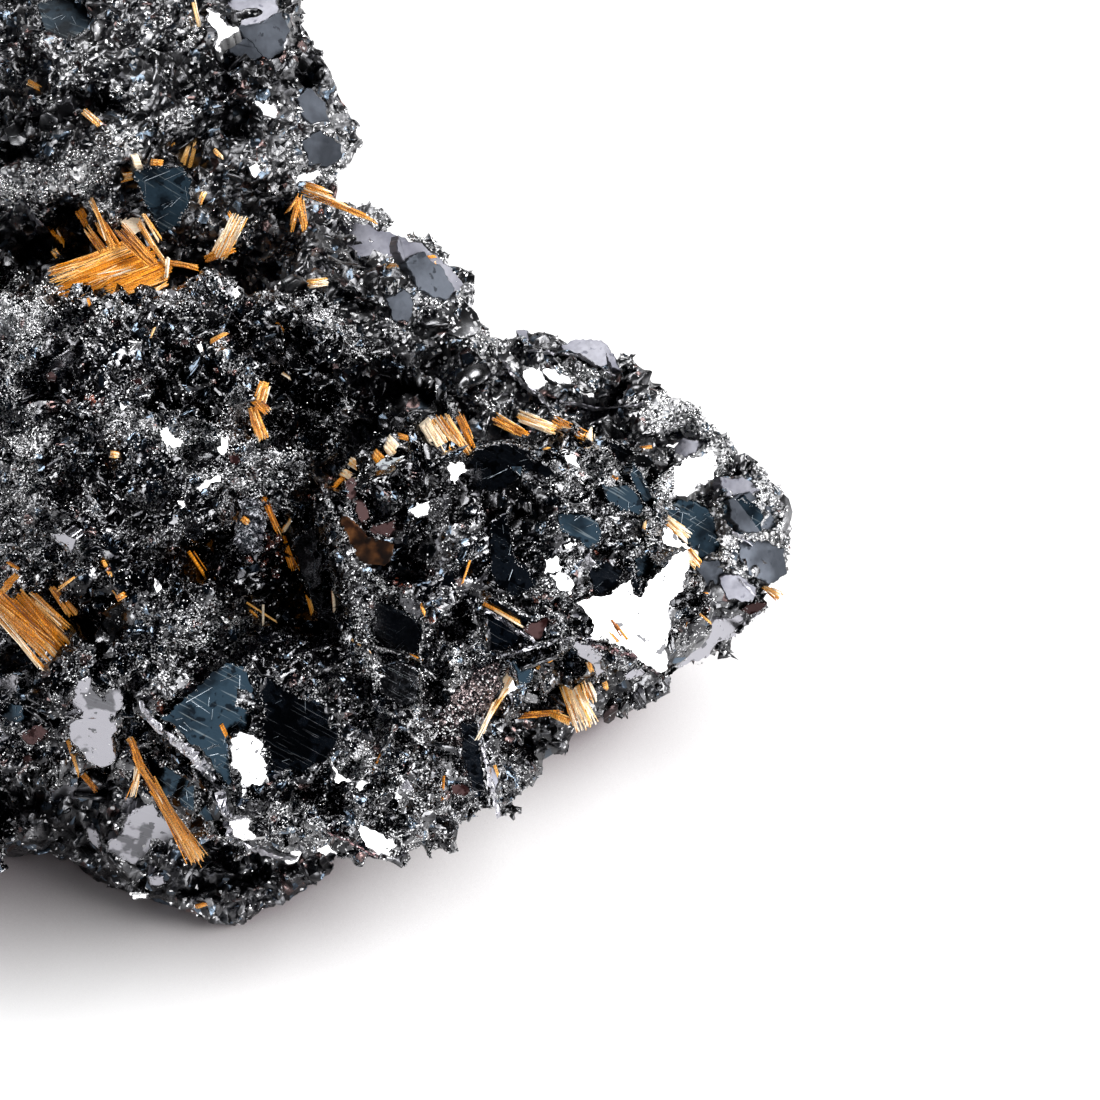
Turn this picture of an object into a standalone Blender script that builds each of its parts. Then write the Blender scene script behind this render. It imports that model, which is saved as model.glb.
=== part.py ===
"""Rutile on hematite, a hand specimen.

A black mass of grown-together hematite lumps and tablets lies on its flat underside. Golden sprays of rutile
needles grow in its hollows. The origin is on the surface that the specimen lies on, under the middle of it, with
+Z up and +X along its length. Lengths below are in millimetres, and MM turns them into Blender's metres.
"""

import math
import random

import bmesh
import bpy
from mathutils import Matrix, Vector

MM = 0.001

# The big lumps of the mass: centre, half sizes along X, Y and Z, and the number of flat faces.
LUMPS = {
    "core": ((-9, -1, 14), (25, 20, 14.5), 30),
    "dome": ((-3, -9, 24.5), (15, 10.5, 11), 26),
    "dome_rim": ((6.5, -6, 26.5), (7, 6, 6), 18),
    "summit": ((-7, 17, 26.5), (17.6, 11, 12), 26),
    "summit_lip": ((-3, 11, 30), (10, 6.5, 6), 20),
    "back_ridge": ((11.3, 1.8, 20), (8.6, 8, 8.4), 20),
    "valley": ((14, -8, 19), (9, 9, 7), 18),
    "terrace": ((23.8, -2.5, 18.4), (9.6, 6, 5.8), 18),
    "nose": ((33, -9, 14.7), (6.2, 6.5, 6.5), 18),
    "prow": ((21.4, -15.5, 20.5), (10.2, 8.6, 8.6), 22),
    "prow_corner": ((28.3, -18, 18.7), (4.8, 5, 5), 16),
    "saddle": ((14, -16, 20), (7, 7.5, 10), 20),
    "chin": ((9.5, -24.2, 15.2), (11.5, 8.3, 7.3), 22),
    "chin_corner": ((18.6, -22.6, 13.2), (5, 5.2, 6.4), 16),
    "cheek": ((-3, -16, 17), (14, 12, 13), 26),
    "front_foot": ((1.6, -20.7, 3.6), (8.7, 8, 8), 20),
    "left_foot": ((-13, -18.6, 8), (11, 9.8, 10.5), 20),
    "right_foot": ((23.5, -10.3, 6), (8, 6.5, 7), 18),
    "left_flank": ((-24, -4, 18), (13, 18, 14), 26),
    "left_shoulder": ((-22, 12, 21), (14, 13, 14), 24),
    "back_foot": ((-12, 14, 9), (19, 13, 11), 22),
    "right_back_foot": ((13, 4, 8), (13, 10, 10), 20),
}

# Large single plates that stand out of the lumps: centre, the way the broad face looks, the way the plate runs,
# then half length, half width and thickness.
PLATES = {
    "chin_mirror": ((7.6, -29.3, 20.2), (-0.12, -0.8, 0.58), (0.8, -0.2, -0.4), 7.4, 5.2, 1.3),
    "prow_mirror": ((28.2, -21.4, 21.8), (0.3, -0.8, 0.52), (0.5, 0.1, 0.8), 3.5, 3.2, 1.1),
    "prow_face": ((23.7, -16, 27), (0.1, -0.5, 0.86), (1, 0.1, 0), 5.4, 3.8, 1.2),
    "saddle_fin": ((12, -21.3, 24.8), (0.98, 0.16, 0.13), (0.21, -0.75, -0.63), 6.4, 3.2, 0.8),
    "dome_fin": ((7.5, -7.5, 31.5), (0.56, 0.64, 0.53), (0.83, -0.43, -0.36), 5.0, 2.6, 0.8),
    "cheek_plate": ((-3.3, -26.4, 19.3), (-0.2, -0.9, 0.4), (0.1, -0.3, -0.9), 2.8, 1.7, 0.9),
    "summit_plate": ((3.7, 16.8, 35.2), (0.1, -0.8, 0.6), (1, 0.1, 0.1), 2.6, 1.7, 0.9),
    "left_blade": ((15.6, -22.4, 21.3), (0.85, -0.5, 0.1), (0.1, -0.5, -0.85), 5.6, 3.0, 1.2),
    "right_blade": ((18.6, -22.7, 20.4), (0.8, -0.6, 0.1), (0, -0.4, -0.9), 5.0, 2.6, 1.1),
    "chin_blade": ((20, -26.6, 14.4), (0.9, -0.3, 0.1), (0.1, -0.3, -0.9), 2.7, 2.0, 0.9),
    "nose_plate": ((33.6, -14.6, 12.6), (0.2, -0.85, 0.45), (0.9, 0.2, 0.2), 2.8, 1.8, 0.9),
    "terrace_leaf_1": ((24, -3.4, 22.6), (0.28, -0.1, 0.95), (0.93, -0.1, -0.25), 6.5, 4.0, 0.9),
    "terrace_leaf_2": ((26, -5.6, 21), (0.28, -0.1, 0.95), (0.93, -0.1, -0.25), 6.0, 3.6, 0.9),
    "nose_face": ((35.2, -9.6, 18.6), (0.45, -0.35, 0.82), (0.6, -0.5, -0.4), 3.6, 3.0, 1.0),
    "dome_leaf": ((-1, -13.5, 34.0), (0.2, -0.45, 0.87), (1, 0.1, 0), 4.4, 3.2, 1.0),
    "left_leaf": ((-30, -16, 22), (-0.5, -0.75, 0.45), (0.8, -0.5, 0.1), 6.0, 4.4, 1.2),
    "back_leaf": ((-16, 25.5, 24), (-0.1, 0.9, 0.4), (1, 0.1, 0), 6.5, 4.6, 1.2),
    "shoulder_leaf": ((-30, 16, 29), (-0.5, 0.4, 0.75), (0.6, 0.8, 0), 6.0, 4.2, 1.2),
}

# Sprays of rutile: root, tip, the way the fan's broad face looks, width across the tips, and needles in a row.
FRONT_SLOPE = (0, -0.64, 0.77)
SPRAYS = {
    "rutile_summit_fan": ((-0.6, 3.7, 27.9), (-6.8, -1.3, 32.8), FRONT_SLOPE, 5.2, 8),
    "rutile_summit_low": ((0.7, 0, 28.7), (-4.2, -3.9, 31.3), FRONT_SLOPE, 2.6, 5),
    "rutile_summit_slim": ((-6, 4.7, 32.7), (-3.7, 1, 32.8), FRONT_SLOPE, 1.4, 3),
    "rutile_summit_steep": ((-3.2, 3.8, 33.2), (-0.4, 0.4, 30.3), FRONT_SLOPE, 2.2, 5),
    "rutile_left_fan": ((-9.6, -19.8, 27.8), (-5, -24.6, 24.2), FRONT_SLOPE, 5.2, 8),
    "rutile_cleft_spray": ((6.4, -12, 32.4), (6.8, -14.6, 30.6), FRONT_SLOPE, 1.6, 4),
    "rutile_fork_long": ((7.6, 9.3, 29), (11.6, 7.6, 27.6), FRONT_SLOPE, 1.9, 4),
    "rutile_fork_short": ((6.6, 7.6, 29.6), (6.9, 5, 26.6), FRONT_SLOPE, 1.5, 4),
    "rutile_pale_bundle": ((3.8, 5.6, 30), (2.2, 3, 28.4), FRONT_SLOPE, 2.0, 4),
    "rutile_crest_1": ((14, -10.2, 27.4), (12.8, -12.4, 26.8), FRONT_SLOPE, 2.2, 5),
    "rutile_crest_2": ((17.2, -9.8, 27.6), (15.6, -12.4, 27.9), FRONT_SLOPE, 2.0, 5),
    "rutile_crest_3": ((20.1, -9.3, 27.7), (19, -12.2, 28.2), FRONT_SLOPE, 2.0, 5),
    "rutile_crest_4": ((26, -9.4, 27.6), (22.2, -9.8, 28.3), FRONT_SLOPE, 1.8, 4),
    "rutile_corner_bundle": ((29.8, -14.6, 23.2), (32.6, -15.6, 21.6), (0.3, -0.64, 0.7), 2.8, 6),
    "rutile_under_prow": ((24.3, -22.9, 17.8), (26.2, -26, 17.6), (0.1, -0.8, 0.55), 2.6, 6),
    "rutile_pale_needles": ((21.2, -23.4, 19.4), (19.6, -27.6, 18.2), FRONT_SLOPE, 0.9, 3),
    "rutile_foot_bundle": ((-0.6, -29, 17), (2.7, -31, 10.2), FRONT_SLOPE, 1.5, 4),
    "rutile_nose_spray": ((36.2, -11.6, 15.4), (38.1, -13.4, 15.7), (0.3, -0.64, 0.7), 1.3, 4),
    "rutile_left_spray": ((-30, -12.6, 27), (-34.6, -15, 29), (-0.4, -0.5, 0.76), 4.0, 6),
    "rutile_back_fan": ((-5, 26, 30.4), (0.5, 29.4, 29), (0.3, 0.7, 0.6), 4.0, 6),
    "rutile_back_bundle": ((-26, 22, 27), (-31, 26, 27), (-0.3, 0.7, 0.6), 3.2, 5),
}

# The gap left round each spray where it sits in its hollow.
SEAT_GAP = 0.35

# Smaller crystals that crowd each lump: blocks and tablets for each 10 mm of its mean half size.
BLOCKS_PER_10_MM = 7.0
TABLETS_PER_10_MM = 6.0

# The lumps grow from this cube in the middle of the core.
SEED_CENTRE = (-6, -1, 16)
SEED_SIDE = 12.0

# The underside is cut flat at the height of the surface that the specimen lies on, by a cube this wide.
CUTTER_SIDE = 200.0


def clear_scene():
    for obj in list(bpy.data.objects):
        bpy.data.objects.remove(obj)


def spread_directions(count, rng, jitter):
    """Unit vectors spaced evenly on a golden-angle spiral, each pushed a little off its place."""
    golden_angle = math.pi * (3 - math.sqrt(5))
    ways = []
    for i in range(count):
        height = 1 - 2 * (i + 0.5) / count
        ring = math.sqrt(1 - height * height)
        turn = i * golden_angle
        push = Vector([rng.uniform(-jitter, jitter) for _ in range(3)])
        ways.append((Vector((ring * math.cos(turn), ring * math.sin(turn), height)) + push).normalized())
    return ways


def random_way(rng):
    return Vector([rng.gauss(0, 1) for _ in range(3)]).normalized()


def add_block(shells, centre, half_sizes, faces, rng, turn=None):
    """Adds a closed block with flat faces: a cube trimmed by planes that touch an ellipsoid."""
    bm = bmesh.new()
    bmesh.ops.create_cube(bm, size=2.6)
    for way in spread_directions(faces, rng, 0.35):
        reach = rng.uniform(0.78, 1.0)
        cut = bmesh.ops.bisect_plane(
            bm,
            geom=bm.verts[:] + bm.edges[:] + bm.faces[:],
            dist=1e-6,
            plane_co=way * reach,
            plane_no=way,
            clear_outer=True,
        )
        rim = [item for item in cut["geom_cut"] if isinstance(item, bmesh.types.BMEdge)]
        if rim:
            bmesh.ops.edgeloop_fill(bm, edges=rim)
    place = Matrix.Translation(Vector(centre)) @ (turn or Matrix.Identity(4))
    bmesh.ops.transform(bm, matrix=place @ Matrix.Diagonal((*half_sizes, 1)), verts=bm.verts)
    append_shell(shells, bm)


def add_tablet(shells, centre, normal, along, half_length, half_width, thickness, rng):
    """Adds a flat six-sided plate with an uneven outline, its broad faces square to normal, its length along."""
    bm = bmesh.new()
    corners = []
    for i in range(6):
        turn = math.radians(60 * i + rng.uniform(-11, 11))
        reach = rng.uniform(0.86, 1.08)
        corners.append((half_length * reach * math.cos(turn), half_width * reach * math.sin(turn)))
    top = [bm.verts.new((x, y, thickness / 2)) for x, y in corners]
    base = [bm.verts.new((x, y, -thickness / 2)) for x, y in corners]
    bm.faces.new(top)
    bm.faces.new(reversed(base))
    for i in range(6):
        j = (i + 1) % 6
        bm.faces.new((base[i], base[j], top[j], top[i]))
    up = Vector(normal).normalized()
    across = up.cross(Vector(along)).normalized()
    turn = Matrix((across.cross(up), across, up)).transposed().to_4x4()
    bmesh.ops.transform(bm, matrix=Matrix.Translation(Vector(centre)) @ turn, verts=bm.verts)
    append_shell(shells, bm)


def append_shell(shells, bm):
    """Copies a finished closed shell into the mesh that gathers all of them."""
    bmesh.ops.recalc_face_normals(bm, faces=bm.faces)
    mesh = bpy.data.meshes.new("shell")
    bm.to_mesh(mesh)
    bm.free()
    shells.from_mesh(mesh)
    bpy.data.meshes.remove(mesh)


def crowd_lump(shells, centre, half_sizes, rng):
    """Covers a lump with blocks and with tablets that lie near one direction, as a book of plates does."""
    centre = Vector(centre)
    mean = sum(half_sizes) / 3
    book = random_way(rng)
    for way in spread_directions(round(BLOCKS_PER_10_MM * mean / 10), rng, 0.4):
        spot = centre + Vector([w * h * 0.8 for w, h in zip(way, half_sizes)])
        size = rng.uniform(0.26, 0.4) * mean
        halves = [size * rng.uniform(0.65, 1.2) for _ in range(3)]
        turn = Matrix.Rotation(rng.uniform(0, math.tau), 4, way)
        add_block(shells, spot, halves, 10, rng, turn)
    for way in spread_directions(round(TABLETS_PER_10_MM * mean / 10), rng, 0.4):
        spot = centre + Vector([w * h * 0.86 for w, h in zip(way, half_sizes)])
        lean = Vector([rng.gauss(0, 0.25) for _ in range(3)])
        size = rng.uniform(0.3, 0.5) * mean
        normal = book + lean
        if abs(normal.normalized().dot(way)) < 0.5:
            normal += way * 0.6
        add_tablet(
            shells,
            spot,
            normal,
            random_way(rng),
            size,
            size * rng.uniform(0.7, 1.0),
            rng.uniform(0.9, 1.6),
            rng,
        )


def object_from(bm, name, material=None, hidden=False):
    """Makes an object of the mesh, scaled from millimetres to metres."""
    bmesh.ops.scale(bm, vec=(MM, MM, MM), verts=bm.verts)
    mesh = bpy.data.meshes.new(name)
    bm.to_mesh(mesh)
    bm.free()
    obj = bpy.data.objects.new(name, mesh)
    bpy.context.scene.collection.objects.link(obj)
    if material:
        mesh.materials.append(material)
    if hidden:
        obj.hide_render = True
        obj.display_type = "WIRE"
    return obj


def add_boolean(obj, operation, other, with_self):
    modifier = obj.modifiers.new(operation.title(), "BOOLEAN")
    modifier.operation = operation
    modifier.solver = "EXACT"
    modifier.object = other
    modifier.use_self = with_self


def keep_largest_body(obj):
    """Applies the modifiers and drops the chips and sealed pockets that joining and cutting leave."""
    graph = bpy.context.evaluated_depsgraph_get()
    joined = bpy.data.meshes.new_from_object(obj.evaluated_get(graph))
    bm = bmesh.new()
    bm.from_mesh(joined)
    bodies, seen = [], set()
    for start in bm.verts:
        if start in seen:
            continue
        body, edge_of_search = {start}, [start]
        while edge_of_search:
            vert = edge_of_search.pop()
            for edge in vert.link_edges:
                other = edge.other_vert(vert)
                if other not in body:
                    body.add(other)
                    edge_of_search.append(other)
        seen |= body
        bodies.append(body)
    largest = max(bodies, key=len)
    bmesh.ops.delete(bm, geom=[v for v in bm.verts if v not in largest], context="VERTS")
    bm.to_mesh(joined)
    bm.free()
    obj.modifiers.clear()
    obj.data = joined


def mineral(name, colour, roughness, metallic):
    material = bpy.data.materials.new(name)
    material.use_nodes = True
    shader = material.node_tree.nodes["Principled BSDF"]
    shader.inputs["Base Color"].default_value = (*colour, 1)
    shader.inputs["Roughness"].default_value = roughness
    shader.inputs["Metallic"].default_value = metallic
    return material


def spray_solid(name, root, tip, face, fan_width, needles, material):
    """One spray: a short wedge at the root, and from its front two rows of pointed needles that fan out."""
    rng = random.Random(name)
    root, tip = Vector(root), Vector(tip)
    length = (tip - root).length
    axis = (tip - root).normalized()
    side = axis.cross(Vector(face)).normalized()
    lift = side.cross(axis)
    depth = min(1.1, 0.35 * fan_width + 0.3)

    def place(across, forward, up):
        return root + side * across + axis * forward + lift * up

    bm = bmesh.new()
    sections = []
    for forward, width, thick in ((0.0, 0.28 * fan_width, 0.7 * depth), (0.3 * length, 0.5 * fan_width, depth)):
        rows = []
        for level in (-0.5, 0, 0.5):
            row = []
            for i in range(needles + 1):
                row.append(bm.verts.new(place((i / needles - 0.5) * width, forward, level * thick)))
            rows.append(row)
        sections.append(rows)
    back, front = sections

    def rim(rows):
        return rows[0] + [rows[1][-1]] + list(reversed(rows[2])) + [rows[1][0]]

    for inner in back[1][1:-1]:
        bm.verts.remove(inner)
    bm.faces.new(rim(back))
    for i, low in enumerate(rim(back)):
        j = (i + 1) % len(rim(back))
        bm.faces.new((low, rim(back)[j], rim(front)[j], rim(front)[i]))
    for level in (0, 1):
        for i in range(needles):
            corners = (front[level][i], front[level][i + 1], front[level + 1][i + 1], front[level + 1][i])
            across = ((i + 0.5) / needles - 0.5) * fan_width
            reach = length * rng.uniform(0.8, 1.0)
            rise = (level - 0.5) * depth * rng.uniform(0.8, 1.5)
            point = bm.verts.new(place(across, reach, rise))
            for k in range(4):
                bm.faces.new((corners[k], corners[(k + 1) % 4], point))
    bmesh.ops.recalc_face_normals(bm, faces=bm.faces)
    return object_from(bm, name, material)


def add_pocket(pockets, spray):
    """Adds the hollow that a spray sits in: the hull of the spray, grown on every side by the seat gap."""
    bm = bmesh.new()
    for vert in spray.data.vertices:
        for k in range(8):
            push = Vector([SEAT_GAP * (1 if k >> axis & 1 else -1) for axis in range(3)])
            bm.verts.new(vert.co / MM + push)
    hull = bmesh.ops.convex_hull(bm, input=bm.verts)
    inside = set(hull["geom_interior"]) | set(hull["geom_unused"])
    loose = [item for item in inside if isinstance(item, bmesh.types.BMVert)]
    bmesh.ops.delete(bm, geom=loose, context="VERTS")
    bmesh.ops.dissolve_limit(bm, angle_limit=0.02, verts=bm.verts, edges=bm.edges)
    append_shell(pockets, bm)


def hematite_mass(material, sprays):
    """The whole black mass: lumps crowded with blocks and tablets, joined, hollowed for the sprays, cut flat."""
    shells = bmesh.new()
    for name, (centre, half_sizes, faces) in LUMPS.items():
        rng = random.Random(name)
        add_block(shells, centre, half_sizes, faces, rng)
        crowd_lump(shells, centre, half_sizes, rng)
    for name, (centre, normal, along, half_length, half_width, thickness) in PLATES.items():
        add_tablet(shells, centre, normal, along, half_length, half_width, thickness, random.Random(name))
    growth = object_from(shells, "growth_guide", hidden=True)

    seed = bmesh.new()
    bmesh.ops.create_cube(seed, size=SEED_SIDE, matrix=Matrix.Translation(SEED_CENTRE))
    mass = object_from(seed, "hematite_mass", material)
    add_boolean(mass, "UNION", growth, with_self=True)

    pockets = bmesh.new()
    for spray in sprays:
        add_pocket(pockets, spray)
    pocket_cut = object_from(pockets, "pocket_cutter", hidden=True)
    add_boolean(mass, "DIFFERENCE", pocket_cut, with_self=True)

    below = bmesh.new()
    lower = Matrix.Translation((0, 0, -CUTTER_SIDE / 2))
    bmesh.ops.create_cube(below, size=CUTTER_SIDE, matrix=lower)
    floor_cut = object_from(below, "underside_cutter", hidden=True)
    add_boolean(mass, "DIFFERENCE", floor_cut, with_self=False)
    keep_largest_body(mass)
    return mass


def centre_on_origin(solids):
    """Moves all the solids sideways together, so that the origin is under the middle of the specimen."""
    points = [vert.co for solid in solids for vert in solid.data.vertices]
    shift = Matrix.Identity(4)
    for axis in (0, 1):
        values = [point[axis] for point in points]
        shift[axis][3] = -(min(values) + max(values)) / 2
    for solid in solids:
        solid.data.transform(shift)


def main():
    clear_scene()
    hematite = mineral("hematite", (0.05, 0.05, 0.055), 0.3, 1.0)
    rutile = mineral("rutile", (0.72, 0.4, 0.12), 0.35, 0.0)
    sprays = []
    for name, (root, tip, face, fan_width, needles) in SPRAYS.items():
        sprays.append(spray_solid(name, root, tip, face, fan_width, needles, rutile))
    mass = hematite_mass(hematite, sprays)
    centre_on_origin([mass] + sprays)


main()
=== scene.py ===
"""Looks of a hand specimen of rutile on hematite.

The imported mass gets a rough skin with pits, flat mirror plates, raised edges, small tablets and fine grains,
all of black hematite. Bundles of golden rutile laths grow in its hollows, and stray needles lie on it. Shapes
are worked out in millimetres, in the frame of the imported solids, and are turned into metres when a mesh is
made. Places and outlines that were measured on the photograph are in its pixels, 1100 a side, and are cast
onto the specimen.
"""

import math

import bmesh
import bpy
import numpy as np
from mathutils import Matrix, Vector
from mathutils.bvhtree import BVHTree


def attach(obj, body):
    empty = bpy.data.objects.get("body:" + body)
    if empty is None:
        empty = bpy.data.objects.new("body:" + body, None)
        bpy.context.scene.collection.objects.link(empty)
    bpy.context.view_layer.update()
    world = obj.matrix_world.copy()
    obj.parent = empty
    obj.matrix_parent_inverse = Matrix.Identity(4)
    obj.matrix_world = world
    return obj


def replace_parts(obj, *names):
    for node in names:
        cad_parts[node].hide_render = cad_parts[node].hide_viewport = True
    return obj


MM = 0.001
BODY = "root"
SEED = 20

# The photograph's view: how high the camera looks down, how far it stands, what it aims at, and its lens.
VIEW_ELEVATION = math.radians(50)
VIEW_DISTANCE = 183.3
VIEW_AIM = np.array((22.98, -16.03, 24.4))
LENS, SENSOR = 100.0, 36.0
PHOTO_SIDE = 1100
FOCUS_DEPTH, BLUR_DEPTH = 181.0, 16.0

# Panels that the hematite mirrors: the way to each, its radiance, and its width in degrees from the specimen.
PANELS = {
    "above": ((-0.15, 0.62, 0.77), 9.0, 34),
    "right": ((0.93, -0.15, 0.33), 8.5, 30),
    "left": ((-0.90, -0.25, 0.35), 7.5, 26),
    "front": ((0.45, -0.85, 0.27), 9.0, 30),
}
# The lamp that lights matt things and throws the soft shadow, the even light from all round, and the paper:
# its white, how far the contact shadow painted into its colour reaches, and half its width, in metres.
SOFT_KEY = ((0.80, -0.12, 0.60), 14.5, 40)
ROOM_LIGHT = 0.42
PAPER = 0.80
PAINTED_SHADOW_REACH = 0.012
PAPER_HALF = 4.0
LAMP_DISTANCE = 0.9

# What the other facets mirror towards the photograph's view.
MIRRORED = {name: panel[0] for name, panel in PANELS.items()}
MIRRORED.update(
    {
        "floor": (0.0, -0.86, -0.5),
        "floor_right": (0.75, -0.45, -0.48),
        "floor_left": (-0.75, -0.45, -0.48),
        "room": (-0.3, -0.9, 0.4),
        "room_right": (0.05, -0.8, 0.6),
    }
)
LIGHT_CHOICES = ("above", "right", "left", "front")
# What a kind of flat face mirrors unless it says so. The others mirror the nearest free light.
USUAL_MIRRORS = {"grey": "floor", "dusk": "floor", "dark": "room", "web": "room", "ash": "room"}


def rows(columns, text):
    """The numbers of a text table, a row of as many as columns."""
    return np.array(text.replace(",", " ").split(), float).reshape(-1, columns)


def named_rows(columns, text):
    """A text table with entries ended by semicolons: {name: (words, rows of as many numbers as columns)}."""
    table = {}
    for entry in text.strip().strip(";").split(";"):
        name, *words = [word for word in entry.split() if word[0].isalpha()]
        numbers = " ".join(word for word in entry.split() if not word[0].isalpha())
        table[name] = (words, rows(columns, numbers))
    return table


# The skin: voxel size of its mesh, and its roughening as (cell size, height, slope, share of cells that are
# hollow, depth of those) from coarse to fine.
SKIN_VOXEL = 0.48
SKIN_ROUGHNESS = (
    (3.4, 0.45, 0.34, 0.14, 1.3),
    (1.5, 0.32, 0.50, 0.18, 0.8),
    (0.75, 0.16, 0.60, 0.15, 0.4),
)

# How far flat faces reach down into the skin. Loose crystals: how many, radius from and to, for plates their
# thickness as a share of it and their corners, and a seed. All in millimetres.
PLATE_DEPTH = 0.9
PLATES = {
    "plates_broad": (450, (0.9, 2.2), (0.1, 0.25), 9, 11),
    "tablets": (2200, (0.35, 1.1), (0.12, 0.4), 7, 12),
}
GRAINS = {"grains_coarse": (18000, (0.12, 0.4), 13), "grains_fine": (30000, (0.06, 0.17), 14)}
FROST_GRAINS = 24000

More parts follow.
